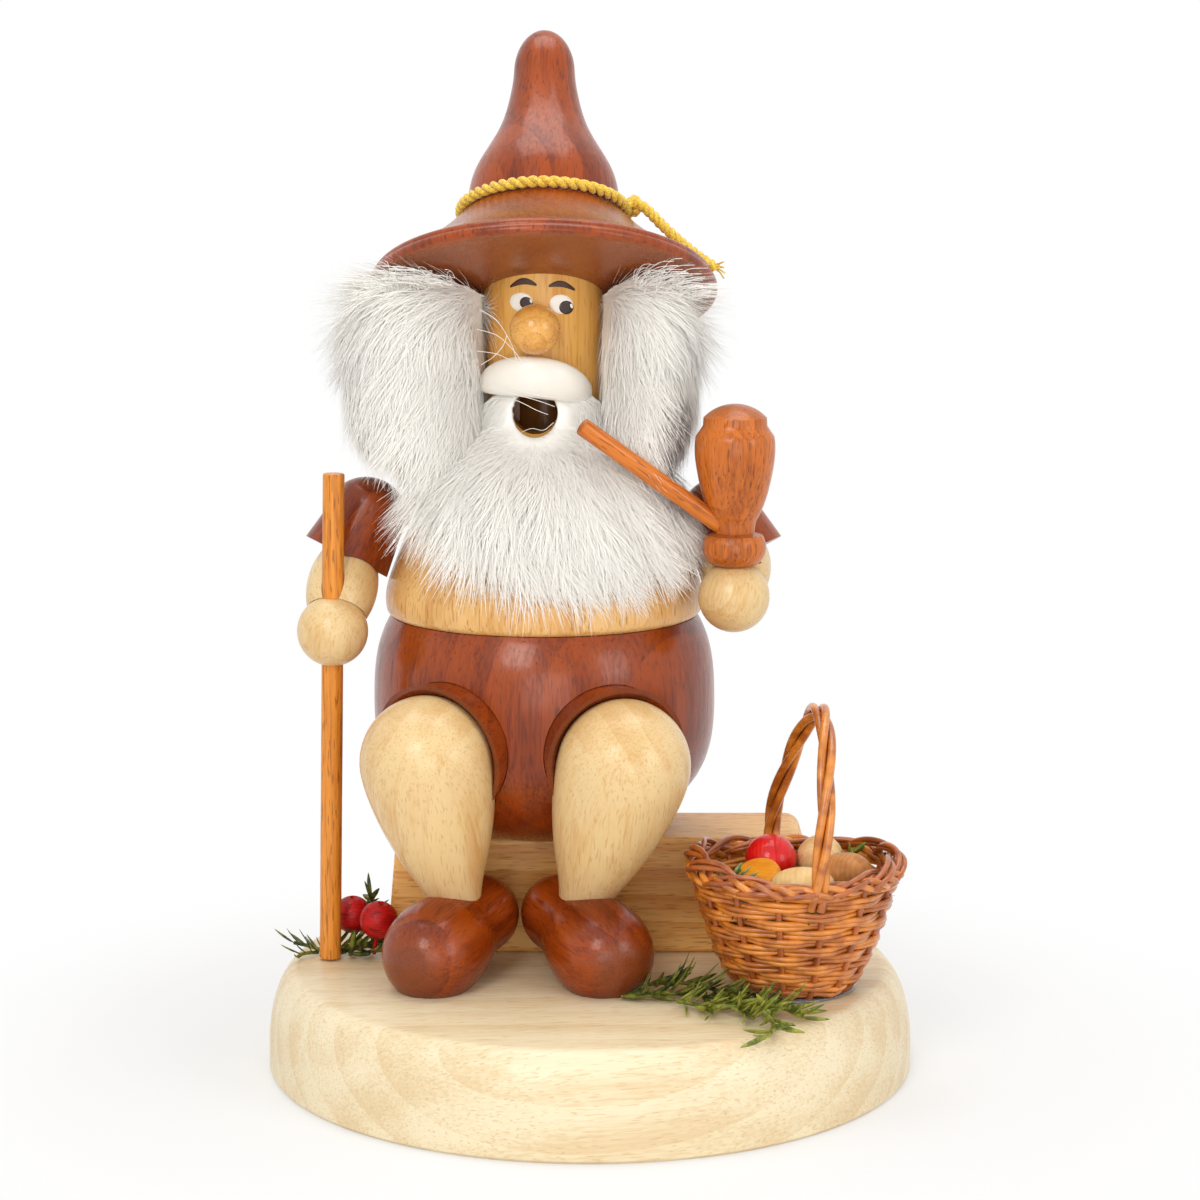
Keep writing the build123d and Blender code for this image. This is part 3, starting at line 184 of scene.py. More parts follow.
def finish(
    name, roughness, specular=0.5, coat=0.0, coat_roughness=0.1, centre=(0, 0, 0), along=(0, 0, 1),
):
    """A material, its shader, and the object's own place in millimetres from the centre, with the
    grain's direction as Z."""
    material = bpy.data.materials.new(name)
    material.use_nodes = True
    tree = material.node_tree
    shader = tree.nodes["Principled BSDF"]
    for label, value in (("Roughness", roughness), ("Specular IOR Level", specular),
                         ("Coat Weight", coat), ("Coat Roughness", coat_roughness)):
        shader.inputs[label].default_value = value
    feed = {
        "Vector": put("ShaderNodeTexCoord", tree=tree, output="Object"),
        "Location": tuple(value * MM for value in centre),
        "Rotation": Vector(along).to_track_quat("Z", "Y").to_euler(),
        "Scale": (MM, MM, MM),
    }
    return material, shader, put("ShaderNodeMapping", feed, vector_type="TEXTURE")


def toned(shader, tone):
    join(colour(tone), shader.inputs["Base Color"])


def raised(shader, height, strength, distance):
    feed = {"Height": height, "Strength": strength, "Distance": distance * MM}
    join(put("ShaderNodeBump", feed), shader.inputs["Normal"])


# Wood and paint

# The wave texture repeats every WAVE / scale millimetres.
WAVE = 0.314
BORE_INSIDE_TONE = (138, 78, 32)


def wood(
    name, light, dark, fleck, along=(0, 0, 1), centre=(0, 0, 0), ring=4.0, ring_share=0.5,
    fleck_share=0.5, end_share=0.0, end=None, roughness=0.35, coat=0.2, bore=None,
):
    """Turned wood: growth rings round the grain, long fibres, short flecks, end grain and bores."""
    material, shader, place = finish(name, roughness, 0.3, coat, 0.12, centre, along)
    wander = noise(stretched(place, (0.11, 0.11, 0.02)), 1.0, 3)
    feed = {"Vector": place, "Scale": WAVE / ring, "Distortion": 2.2, "Detail": 2.0,
            "Detail Scale": 0.5}
    rings = put("ShaderNodeTexWave", feed, output="Fac", wave_type="RINGS", rings_direction="Z",
                wave_profile="SAW")
    fibres = noise(stretched(place, (1.0, 1.0, 0.05)), 1.9, 3, 0.6)
    specks = between(noise(stretched(place, (1.0, 1.0, 0.09)), 3.2, 0.5), 0.63, 0.7)
    grain = rings * ring_share + between(wander, 0.3, 0.7, 0, 0.6)
    grain = grain + between(fibres, 0.35, 0.75, -0.15, 0.35)
    tone = blended(between(grain, 0.1, 1.15), light, dark)
    if end_share:
        normal = put("ShaderNodeTexCoord", tree=place.tree, output="Normal")
        facing = vectors("DOT_PRODUCT", normal, Vector(along).normalized(), output="Value")
        tone = blended(between(number("ABSOLUTE", facing), 0.55, 0.98, 0, end_share), tone, end)
    tone = blended(specks * fleck_share, tone, fleck)
    # The inside of a bore is coloured a darker brown.
    if bore:
        reach = length_of(stretched(place, (1, 1, 0)))
        tone = blended(between(reach, bore - 1.0, bore - 0.25, 0.85, 0), tone, BORE_INSIDE_TONE)
    toned(shader, tone)
    join(between(fibres, 0.3, 0.8, roughness - 0.06, roughness + 0.12), shader.inputs["Roughness"])
    raised(shader, fibres - specks * 0.8, 0.25, 0.08)
    return material


def paint(name, tone, roughness, coat, mottle):
    """Brushed paint with a little unevenness."""
    material, shader, place = finish(name, roughness, coat=coat)
    patches = between(noise(place, 0.35, 3), 0.3, 0.7, 0, mottle * 4)
    toned(shader, blended(patches, tone, darker(tone, 0.75)))
    raised(shader, noise(place, 1.6, 3), 0.12, 0.06)
    return material


def ringed_paint(name, tone, dark, along, pitch, crack, coat=0.1):
    """Matt stain on a turned ball: fine turning rings and dark cracks along them."""
    material, shader, place = finish(name, 0.5, 0.25, coat, along=along)
    feed = {"Vector": place, "Scale": WAVE / pitch, "Distortion": 1.2, "Detail": 2.0}
    rings = put("ShaderNodeTexWave", feed, output="Fac", wave_type="BANDS", bands_direction="Z")
    cracks = between(noise(stretched(place, (0.35, 0.35, 2.6)), 1.0), 0.62, 0.7, 0, crack)
    mixed = blended(between(noise(place, 0.4), 0.35, 0.7, 0, 0.6), tone, dark)
    mixed = blended(between(rings, 0.2, 0.9, 0.0, 0.22), mixed, dark)
    toned(shader, blended(cracks, mixed, darker(dark, 0.3)))
    raised(shader, rings - cracks, 0.35, 0.1)
    return material


def osier_material(name, light, dark, deep):
    material, shader, place = finish(name, 0.32, 0.5, 0.45, 0.18)
    fine = noise(place, 3.5)
    patches = noise(stretched(place, (0.3, 0.3, 0.4)), 0.8)
    tone = blended(between(patches, 0.34, 0.66, 0, 0.85), light, dark)
    toned(shader, blended(between(fine, 0.55, 0.78, 0, 0.35), tone, deep))
    raised(shader, fine, 0.3, 0.08)
    return material


def leaf_material(name, light, dark, tip):
    material, shader, place = finish(name, 0.45, 0.35)
    tone = blended(between(noise(place, 0.35), 0.38, 0.62), dark, light)
    toned(shader, blended(between(noise(place, 1.6), 0.55, 0.72, 0, 0.6), tone, tip))
    return material


PALE = ((232, 202, 148), (214, 168, 106), (200, 154, 96))
BROWN = ((160, 68, 10), (110, 38, 6), (74, 28, 8))

def leaning_stain(name, along, centre):
    """Brown stain on a piece whose grain follows its own axis."""
    return wood(name, *BROWN, along, centre, 3.4, 0.4, end_share=0.75, end=(120, 60, 30),
                roughness=0.32)


def leaning_pale(name, along, centre):
    """Pale beech on a piece whose grain follows its own axis."""
    return wood(name, *PALE, along, centre, 5.0, 0.25, roughness=0.3)


# Meshes

def mesh_of(name, points, edges=(), faces=(), smooth=True):
    """A mesh whose points are in millimetres."""
    mesh = bpy.data.meshes.new(name)
    points = [tuple(float(value) * MM for value in point) for point in points]
    mesh.from_pydata(points, edges, faces)
    if smooth:
        mesh.shade_smooth()
    return mesh


@contextmanager
def reworked(mesh):
    """A mesh's points and faces, open for a change."""
    work = bmesh.new()
    work.from_mesh(mesh)
    yield work
    work.to_mesh(mesh)
    work.free()


def placed(name, data):
    """A mesh, lamp or camera as an object of the scene."""
    data.name = name
    piece = bpy.data.objects.new(name, data)
    bpy.context.scene.collection.objects.link(piece)
    return piece


def new_piece(name, points, faces, smooth=True):
    mesh = mesh_of(name, points, (), faces, smooth)
    mesh.validate()
    return placed(name, mesh)


def paths(name, runs, closed=False):
    """Chains of edges, for the trees that follow a path."""
    points, edges = [], []
    for run in runs:
        start = len(points)
        edges += [(start + n, start + n + 1) for n in range(len(run) - 1)]
        if closed:
            edges.append((start + len(run) - 1, start))
        points += run
    return placed(name, mesh_of(name, points, edges, smooth=False))


def band(rings, count):
    """The faces between rings of count points."""
    faces = []
    for ring in range(rings - 1):
        for n in range(count):
            a, b = ring * count + n, ring * count + (n + 1) % count
            faces.append((a, b, b + count, a + count))
    return faces


def as_made(piece):
    """The piece's mesh with its modifiers carried out."""
    graph = bpy.context.evaluated_depsgraph_get()
    return bpy.data.meshes.new_from_object(piece.evaluated_get(graph))


def settled(piece, body, material, replaces=()):
    """Gives a finished piece its material and body, and hides the nodes that it stands for."""
    if material is not None:
        piece.data.materials.clear()
        piece.data.materials.append(material)
    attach(piece, body)
    if replaces:
        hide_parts(*replaces)
    return piece


def body_of(node):
    return frame["nodes"][node]["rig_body"]


def merged_copy(node, name):
    """A copy of a node's mesh with its triangles joined up."""
    mesh = frame["nodes"][node].data.copy()
    for layer in ("custom_normal", "sharp_edge", "sharp_face"):
        if layer in mesh.attributes:
            mesh.attributes.remove(mesh.attributes[layer])
    with reworked(mesh) as work:
        bmesh.ops.remove_doubles(work, verts=work.verts, dist=0.002 * MM)
    return placed(name, mesh)


def creased(piece):
    """Smooth shading between the real edges."""
    piece.data.shade_smooth()
    piece.data.set_sharp_from_angle(angle=CREASE)
    return piece


def polished(node, material):
    """The node's own shape, shaded smooth between its real edges."""
    settled(creased(merged_copy(node, node + "_finish")), body_of(node), material, [node])


def plain(node, material):
    """A node that keeps its own mesh."""
    piece = frame["nodes"][node]
    piece.data.materials.clear()
    piece.data.materials.append(material)


def middle_of(node):
    low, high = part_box(node)
    return (low + high) / 2 / MM


def rounded(points, steps=8):
    """A smooth run through a few places."""
    points = [np.array(point, float) for point in points]
    ends = [2 * points[0] - points[1], *points, 2 * points[-1] - points[-2]]
    run = []
    for before, start, stop, after in zip(ends, ends[1:], ends[2:], ends[3:]):
        for step in range(steps):
            t = step / steps
            run.append(0.5 * (2 * start + (stop - before) * t
                              + (2 * before - 5 * start + 4 * stop - after) * t**2
                              + (3 * start - before - 3 * stop + after) * t**3))
    run.append(points[-1])
    return run


def softened(outline, steps):
    """An outline drawn smoothly through a few (radius, height) pairs."""
    run = rounded([(radius, height, 0) for radius, height in outline], steps)
    return [(max(float(radius), 0.0), float(height)) for radius, height, _ in run]


def oval_outline(radius, half_height, square=1.0, rings=22):
    """An oval's (radius, height) pairs. A square below 1 makes its ends blunter."""
    angles = [pi * n / rings - pi / 2 for n in range(rings + 1)]
    return [(radius * max(cos(t), 0.0) ** square, half_height * sin(t)) for t in angles]


def turned_form(name, outline, place, lean=(0, 0, 1), steps=48, dents=None):
    """A form turned from (radius, height) pairs about its own axis, with small unevenness."""
    turn = Vector(lean).normalized().to_track_quat("Z", "Y").to_matrix()

    def at(radius, angle, height):
        return Vector(place) + turn @ Vector((radius * cos(angle), radius * sin(angle), height))

    points = []
    for radius, height in outline[1:-1]:
        for n in range(steps):
            angle = 2 * pi * n / steps
            swell = 1 + (dents(angle, height) if dents else 0)
            points.append(at(radius * swell, angle, height))
    low, high, last = len(points), len(points) + 1, len(points) - steps
    points += [at(0, 0, outline[0][1]), at(0, 0, outline[-1][1])]
    faces = band(len(outline) - 2, steps)
    faces += [(low, (n + 1) % steps, n) for n in range(steps)]
    faces += [(high, last + n, last + (n + 1) % steps) for n in range(steps)]
    return new_piece(name, points, faces)


# Trees for what repeats

def new_tree(name, **inputs):
    """Starts a Geometry Nodes tree and gives what comes in. Each input has its value, or else the
    name of its kind."""
    tree = bpy.data.node_groups.new(name, "GeometryNodeTree")
    inputs = {"geometry": "Geometry", **inputs}
    for key, value in inputs.items():
        kind = value if isinstance(value, str) else {int: "Int", float: "Float"}[type(value)]
        label = key.replace("_", " ").capitalize()
        socket = tree.interface.new_socket(label, in_out="INPUT", socket_type="NodeSocket" + kind)
        if kind != value:
            socket.default_value = value
    tree.interface.new_socket("Geometry", in_out="OUTPUT", socket_type="NodeSocketGeometry")
    start = tree.nodes.new("NodeGroupInput")
    return SimpleNamespace(**{key: Output(socket) for key, socket in zip(inputs, start.outputs)})


def close_tree(geometry, material):
    smooth = put("GeometryNodeSetShadeSmooth", {"Geometry": geometry})
    real = put("GeometryNodeRealizeInstances", {"Geometry": smooth})
    named = put("GeometryNodeSetMaterial", {"Geometry": real, "Material": material})
    join(named, named.tree.nodes.new("NodeGroupOutput").inputs["Geometry"])
    return named.tree


def grown(carrier, name, tree, **values):
    """What a tree makes of its carrier, as one plain mesh. The carrier is removed."""
    modifier = carrier.modifiers.new(name, "NODES")
    modifier.node_group = tree
    for item in tree.interface.items_tree:
        label = item.name.lower().replace(" ", "_")
        if item.item_type == "SOCKET" and item.in_out == "INPUT" and label in values:
            modifier[item.identifier] = values[label]
    mesh = as_made(carrier)
    carrier.modifiers.remove(modifier)
    bpy.data.objects.remove(carrier)
    return placed(name, mesh)


def attribute(tree, label, kind="FLOAT"):
    return put("GeometryNodeInputNamedAttribute", {"Name": label}, tree, data_type=kind)


def random_number(low, high, seed):
    feed = {2: low, 3: high, "Seed": seed}
    return put("FunctionNodeRandomValue", feed, seed.tree, output=1, data_type="FLOAT")


def aligned(vector, axis, pivot="AUTO", **start):
    """A rotation that points an axis along a vector."""
    feed = {"Vector": vector, **start}
    return put("FunctionNodeAlignRotationToVector", feed, axis=axis, pivot_axis=pivot)


def turned(rotation, *angles):
    """A rotation turned further in its own axes."""
    feed = {"Rotation": rotation, "Rotate By": xyz(*angles)}
    return put("FunctionNodeRotateRotation", feed, rotation_space="LOCAL")


def repeated(points, part, rotation, size):
    feed = {"Object": part, "As Instance": True}
    part = put("GeometryNodeObjectInfo", feed, output="Geometry")
    feed = {"Points": points, "Instance": part, "Rotation": rotation, "Scale": size}
    return put("GeometryNodeInstanceOnPoints", feed)


def even_curve(geometry, step):
    feed = {"Curve": put("GeometryNodeMeshToCurve", {"Mesh": geometry}), "Length": step}
    return put("GeometryNodeResampleCurve", feed, mode="LENGTH")


def tube(curve, sides, radius, caps=True):
    section = put("GeometryNodeCurvePrimitiveCircle", {"Resolution": sides, "Radius": radius})
    feed = {"Curve": curve, "Profile Curve": section, "Fill Caps": caps}
    return put("GeometryNodeCurveToMesh", feed)


def moved(geometry, **where):
    return put("GeometryNodeSetPosition", {"Geometry": geometry, **where})


def fur_tree():
    """Strands that leave a skin along its lift and lie over along its comb."""
    given = new_tree(
        "fur_strands",
        strand="Object", per_square_metre=1.0e6, shortest=0.7, longest=1.2, scatter=0.5,
        clump=1.4 * MM, clump_scale=170.0, seed=1, finish="Material",
    )
    seed, scatter = given.seed, given.scatter
    tree = seed.tree
    feed = {"Mesh": given.geometry, "Seed": seed,
            "Density": given.per_square_metre * attribute(tree, "thick")}
    points = put("GeometryNodeDistributePointsOnFaces", feed, output="Points")
    upright = aligned(attribute(tree, "lift", "FLOAT_VECTOR"), "Z")
    lying = aligned(attribute(tree, "comb", "FLOAT_VECTOR"), "X", "Z", Rotation=upright)
    turn, nod = (random_number(scatter * -1.0, scatter, salt) for salt in (seed, seed + 7.0))
    spread = turned(lying, nod * 0.38, nod * 0.28, turn)
    size = random_number(given.shortest, given.longest, seed + 3.0)
    size = size * attribute(tree, "reach_share")
    strands = repeated(points, given.strand, spread, size)
    strands = put("GeometryNodeRealizeInstances", {"Geometry": strands})
    where = put("GeometryNodeInputPosition", tree=tree)
    waves = noise(where, given.clump_scale, 1.0, output="Color")
    waves = vectors("SUBTRACT", waves, (0.5, 0.5, 0.5))
    along = attribute(tree, "along")
    drift = scaled(waves, along * along * given.clump)
    return close_tree(moved(strands, Offset=drift), given.finish)


def laid_tree():
    """Strands laid round each path, as in a twisted cord, a braid or a single rod."""
    given = new_tree(
        "laid_strands",
        strands=2, turns_per_metre=200.0, lay_radius=0.5 * MM, strand_radius=0.5 * MM,
        step=0.5 * MM, sides=8, finish="Material",
    )
    tree = given.step.tree
    feed = {"Geometry": even_curve(given.geometry, given.step), "Amount": given.strands}
    copies, copy = put("GeometryNodeDuplicateElements", feed, output=("Geometry", "Duplicate Index"),
                       domain="SPLINE")
    length = put("GeometryNodeSplineParameter", tree=tree, output="Length")
    angle = (length * given.turns_per_metre + copy / given.strands) * (2 * pi)
    normal = put("GeometryNodeInputNormal", tree=tree)
    across = vectors("CROSS_PRODUCT", put("GeometryNodeInputTangent", tree=tree), normal)
    offset = vectors("ADD", scaled(normal, number("COSINE", angle)),
                     scaled(across, number("SINE", angle)))
    strands = moved(copies, Offset=scaled(offset, given.lay_radius))
    return close_tree(tube(strands, given.sides, given.strand_radius), given.finish)


def weave_tree():
    """Pairs of rods woven in front of and behind the stakes of a round basket."""
    given = new_tree(
        "basket_weave",
        rows=24, stakes=14, foot_radius=9.2 * MM, rim_radius=18.9 * MM, height=21.6 * MM,
        flare=0.62, rod_radius=0.5 * MM, depth=0.7 * MM, steps=196, seed=4.0, finish="Material",
    )
    line = put("GeometryNodeMeshLine", {"Count": given.rows}, mode="OFFSET")
    circle = put("GeometryNodeCurvePrimitiveCircle", {"Resolution": given.steps})
    rings = put("GeometryNodeInstanceOnPoints", {"Points": line, "Instance": circle})
    rings = put("GeometryNodeRealizeInstances", {"Geometry": rings})
    turn = put("GeometryNodeInputIndex", tree=line.tree) / given.steps
    row = number("FLOOR", turn)
    angle = (turn - row) * (2 * pi)
    east, north = number("COSINE", angle), number("SINE", angle)
    side = number("COSINE", number("FLOOR", row * 0.5) * pi)
    wave = number("COSINE", angle * given.stakes * 0.5)
    level = (row + 0.5) / given.rows
    uneven = noise(xyz(east * 2.4, north * 2.4, (row + given.seed) * 1.7), 1.3, 1.0) - 0.5
    height = level * given.height + uneven * (given.rod_radius * 1.5)
    widening = given.rim_radius - given.foot_radius
    radius = given.foot_radius + widening * number("POWER", level, given.flare)
    radius = radius + wave * side * given.depth * (uneven * 0.8 + 1.0)
    place = xyz(radius * east, radius * north, height)
    rods = tube(moved(rings, Position=place), 7, given.rod_radius, False)
    return close_tree(rods, given.finish)


def sprig_tree():
    """Needles to both sides and above a bare stem."""
    given = new_tree(
        "sprig_needles",
        needle="Object", spacing=0.9 * MM, stem_radius=0.35 * MM, closest_angle=0.45,
        widest_angle=0.95, shortest=0.75, longest=1.15, seed=1, finish="Material",
    )
    seed = given.seed
    stem = even_curve(given.geometry, given.spacing)
    seated = aligned(put("GeometryNodeInputTangent", tree=seed.tree), "Z")
    seated = aligned((0, 0, 1), "Y", "Z", Rotation=seated)
    spin = random_number(radians(-8), radians(188), seed)
    lean = random_number(given.closest_angle, given.widest_angle, seed + 5.0)
    leaning = turned(turned(seated, 0, 0, spin), 0, lean, 0)
    size = random_number(given.shortest, given.longest, seed + 9.0)
    both = seed.tree.nodes.new("GeometryNodeJoinGeometry")
    join(repeated(stem, given.needle, leaning, size), both.inputs[0])
    join(tube(stem, 6, given.stem_radius), both.inputs[0])
    return close_tree(Output(both.outputs[0]), given.finish)


fur_strands, laid_strands, basket_rods, needles = fur_tree(), laid_tree(), weave_tree(), sprig_tree()


def laid(name, runs, body, material, radius, step, strands=1, turns=0.0, lay=0.0, sides=8,
         closed=False, replaces=()):
    """Rods, hairs or twisted strands along the given runs."""
    piece = grown(paths(name + "_paths", runs, closed), name, laid_strands, finish=material,
                  strands=strands, turns_per_metre=turns, lay_radius=lay * MM,
                  strand_radius=radius * MM, step=step * MM, sides=sides)
    return settled(piece, body, None, replaces)


# The turned pieces keep their own shapes

polished("base_plate", wood(
    "base_beech", (240, 225, 190), (226, 200, 156), (212, 176, 124), (1, 0.1, 0.05), (0, -90, 60),
    6.5, 0.4, roughness=0.42, coat=0.125))
polished("bench", wood(
    "bench_beech", (244, 190, 112), (212, 142, 64), (154, 88, 30), (1, 0.02, 0.01), (0, 10, -30),
    5.0, roughness=0.42, coat=0.125))
polished("trousers", wood(
    "trouser_stain", *BROWN, centre=(-50, 40, 0), ring=7.0, ring_share=0.35, end_share=0.5,
    end=(136, 66, 28), roughness=0.27, coat=0.225))
polished("torso", wood(
    "torso_beech", (238, 192, 124), (212, 154, 84), (160, 98, 46), centre=(-30, 60, 0), ring=6.0,
    ring_share=0.35, fleck_share=0.6, roughness=0.3))
polished("head", wood(
    "face_wood", (238, 184, 98), (212, 148, 62), (158, 98, 36), centre=(*FIGURE, 0), ring=3.2,
    ring_share=0.45, fleck_share=0.3, roughness=0.3, bore=HEAD_RADIUS))
polished("nose", wood(
    "nose_wood", (234, 174, 88), (204, 134, 58), (150, 90, 34), (0, 1, 0), (-9.9, 0, 134), 2.4, 0.4,
    0.3, roughness=0.22, coat=0.35))
polished("pipe_bowl", wood(
    "pipe_stain", (210, 114, 38), (156, 76, 20), (86, 36, 12), centre=(40, 20, 0), ring=2.6,
    ring_share=0.3, fleck_share=0.6, end_share=0.5, end=(146, 80, 44), roughness=0.32))
polished("pipe_stem", wood(
    "stem_stain", (222, 126, 42), (160, 76, 18), (92, 38, 12), (27.8, 8, -20.7),
    (-1.4, -10, 119.9), 1.1, 0.4, roughness=0.4))
polished("walking_stick", wood(
    "stick_stain", (232, 148, 52), (176, 92, 20), (104, 46, 12), ring=1.2, ring_share=0.4,
    roughness=0.4))

for node, along, centre in (
    ("right_hand", (0.2, -0.3, 1), (-20, 20, 81)), ("left_hand", (0.3, 0.2, 1), (50, 20, 88)),
    ("right_forearm", (0.15, 0.9, 0.55), (-60, 30, 88)),
    ("left_forearm", (-0.1, 0.9, 0.3), (60, 30, 93)),
    ("right_lower_leg", (-0.1, -0.6, 1), (-60, 10, 50)),
    ("left_lower_leg", (0.1, -0.6, 1), (40, 10, 50)),
):
    polished(node, leaning_pale(node + "_beech", along, centre))

for node, along, centre in (
    ("right_thigh_cup", (-0.54, -0.82, -0.2), (-30, -15, 50)),
    ("left_thigh_cup", (0.38, -0.9, -0.2), (20, -15, 50)),
    ("right_sleeve", (0.45, 0.15, 0.88), (-60, 30, 90)),
    ("left_sleeve", (-0.45, 0.15, 0.88), (40, 30, 90)),
):
    polished(node, leaning_stain(node + "_stain", along, centre))

dowel_beech = wood("dowel_beech", *PALE, ring=2.0, roughness=0.5, coat=0.0)
for node in ("bench_dowels", "seat_dowel", "leg_dowels", "hat_dowel", "shoulder_dowels",
             "elbow_dowels", "wrist_dowels"):
    plain(node, dowel_beech)

tin, shader, place = finish("tinned_plate", 0.38)
shader.inputs["Metallic"].default_value = 1.0
toned(shader, blended(noise(place, 0.8, 4), (176, 172, 160), (128, 112, 92)))
for node in ("incense_plate", "plate_nail"):
    plain(node, tin)


def rounded_hat(shoulder=44.8, radius=5.8, rise=8.6):
    """The hat's own shape, with its tip above the shoulder drawn into a smooth dome."""
    piece = merged_copy("hat", "hat_finish")
    axis, centre = Vector(HAT_AXIS), Vector(HAT_CENTRE)
    for vert in piece.data.vertices:
        place = vert.co / MM - centre
        height = place.dot(axis)
        if height > shoulder:
            out = place - axis * height
            reach = out.length
            angle = atan2((height - shoulder) / rise, reach / radius)
            if reach > 1e-6:
                out *= radius * cos(angle) / reach
            vert.co = (centre + axis * (shoulder + rise * sin(angle)) + out) * MM
    stain = wood("hat_stain", *BROWN, HAT_AXIS, (18, 34, 141), 5.0, 0.4, 0.55, 0.7, (150, 84, 44),
                 0.3, 0.225)
    settled(creased(piece), "upper", stain, ["hat"])


SHOE_OUTLINE = ((0, -7.3), (2.6, -6.9), (5.2, -5.3), (6.9, -2.6), (7.35, 0), (7.2, 3.2), (7.6, 6.4),
                (8.5, 9.6), (9.1, 12.8), (9.2, 16.0), (8.7, 19.0), (7.5, 21.6), (5.6, 23.6),
                (3.2, 24.8), (0, 25.3))


def shoe(node, heel, toe_line):
    """A turned shoe: a round heel, a broad waist and a full, blunt toe, flat under its sole."""
    piece = turned_form(node + "_turning", softened(SHOE_OUTLINE, 4), heel, toe_line, 72)
    for vert in piece.data.vertices:
        vert.co.z = max(vert.co.z, BASE_TOP * MM)
    stain = leaning_stain(node + "_stain", toe_line, (heel[0] - 3, heel[1] - 7, heel[2]))
    settled(piece, "lower", stain, [node])


rounded_hat()
shoe("right_shoe", (-20.5, -5.0, 28.8), (-0.487, -0.844, -0.225))
shoe("left_shoe", (-5.4, -5.0, 28.8), (0.487, -0.844, -0.225))

moustache = merged_copy("moustache", "moustache_finish")
middle = middle_of("moustache") * MM
tilt = Matrix.Rotation(radians(6), 4, "Y")
moustache.data.transform(Matrix.Translation(middle) @ tilt @ Matrix.Translation(-middle))
white_gloss = paint("white_gloss", (244, 238, 226), 0.34, 0.3, 0.03)
settled(creased(moustache), "upper", white_gloss, ["moustache"])


# Painted eyes and brows, as thin skins of paint on the round face

def painted(name, outline, lift, material):
    """A skin of paint whose outline is given as (x, z), laid on the face."""
    outline = np.array(outline, float)
    middle = outline.mean(axis=0)
    count = len(outline)

    def on_face(x, z, rise):
        return (x, FIGURE[1] - sqrt((HEAD_RADIUS + rise) ** 2 - (x - FIGURE[0]) ** 2), z)

    points = []
    for share in (1.0, 0.97, 0.66, 0.33):
        rise = 0.0 if share == 1.0 else lift
        points += [on_face(x, z, rise) for x, z in middle + (outline - middle) * share]
    points.append(on_face(*middle, lift))
    faces = band(4, count)
    faces += [(3 * count + n, 3 * count + (n + 1) % count, 4 * count) for n in range(count)]
    settled(new_piece(name, points, faces), "upper", material)


def ellipse(x, z, wide, high, turn, steps=28):
    turn = radians(turn)
    angles = [2 * pi * n / steps for n in range(steps)]
    return [(x + wide * cos(t) * cos(turn) - high * sin(t) * sin(turn),
             z + wide * cos(t) * sin(turn) + high * sin(t) * cos(turn)) for t in angles]


def brow(x_left, x_right, z_left, z_right, arch, thick, steps=14):
    """A curved stroke that is pointed at both ends."""
    upper, lower = [], []
    for n in range(steps + 1):
        t = n / steps
        x = x_left + (x_right - x_left) * t
        z = z_left + (z_right - z_left) * t + arch * sin(pi * t)
        half = thick * sin(pi * (0.06 + 0.88 * t)) ** 0.7
        upper.append((x, z + half))
        lower.append((x, z - half))
    return lower + upper[::-1]


eye_white = paint("eye_white", (255, 252, 242), 0.35, 0.2, 0.01)
pupil_brown = paint("pupil_brown", (52, 26, 14), 0.3, 0.3, 0.02)
brow_brown = paint("brow_brown", (70, 34, 16), 0.45, 0.1, 0.05)
for name, outline, lift, material in (
    ("right_eye_white", ellipse(-12.5, 141.1, 2.15, 1.75, -8), 0.06, eye_white),
    ("left_eye_white", ellipse(-5.2, 140.75, 2.15, 1.75, -14), 0.06, eye_white),
    ("right_pupil", ellipse(-11.6, 141.0, 1.25, 1.12, -12), 0.11, pupil_brown),
    ("left_pupil", ellipse(-4.3, 140.15, 1.32, 1.25, -10), 0.11, pupil_brown),
    ("right_brow", brow(-14.6, -9.7, 143.9, 144.3, 0.85, 0.6), 0.07, brow_brown),
    ("left_brow", brow(-7.5, -2.7, 144.1, 143.3, 0.75, 0.58), 0.07, brow_brown),
    ("right_glint", ellipse(-10.75, 141.35, 0.22, 0.42, 20), 0.14, eye_white),
    ("left_glint", ellipse(-3.35, 140.4, 0.24, 0.46, 20), 0.14, eye_white),
):
    painted(name, outline, lift, material)


# Fur of the hair and the beard

def fur_material(name, light, dark, grey_and_shade_tone):
    """White fur with grey hairs beside the mouth and at the outer lock, and painted shade under the
    brim.
    """
    material, shader, place = finish(name, 0.6, 0.2)
    x, y, z = put("ShaderNodeSeparateXYZ", {"Vector": place}, output=("X", "Y", "Z"))
    lines = noise(stretched(place, (1.1, 1.1, 0.25)), 1.2)
    beside = between(number("ABSOLUTE", x + 16.2), 1.0, 4.2, 1, 0) * between(z, 98, 106)
    beside = beside * between(z, 121, 125, 1, 0) * between(y, 2, 6, 1, 0)
    lock = between(vectors("DISTANCE", place, (-43, 8, 113), output="Value"), 4, 9, 0.8, 0)
    # Painted shade: the fur just under the brim is greyed, as if the hat shaded it.
    brim_shade = between(z + y * 0.42, 146, 150, 0, 0.35)
    grey_hair_and_shade = number("MAXIMUM", beside, lock, brim_shade) * between(lines, 0.42, 0.6, 0.1, 0.9)
    tone = blended(between(lines, 0.3, 0.7, 0, 0.6), light, dark)
    toned(shader, blended(grey_hair_and_shade, tone, grey_and_shade_tone))
    return material


# The last colour serves both the grey hairs and the painted shade under the brim.
white_fur = fur_material("white_fur", (255, 253, 248), (252, 249, 242), (126, 119, 116))


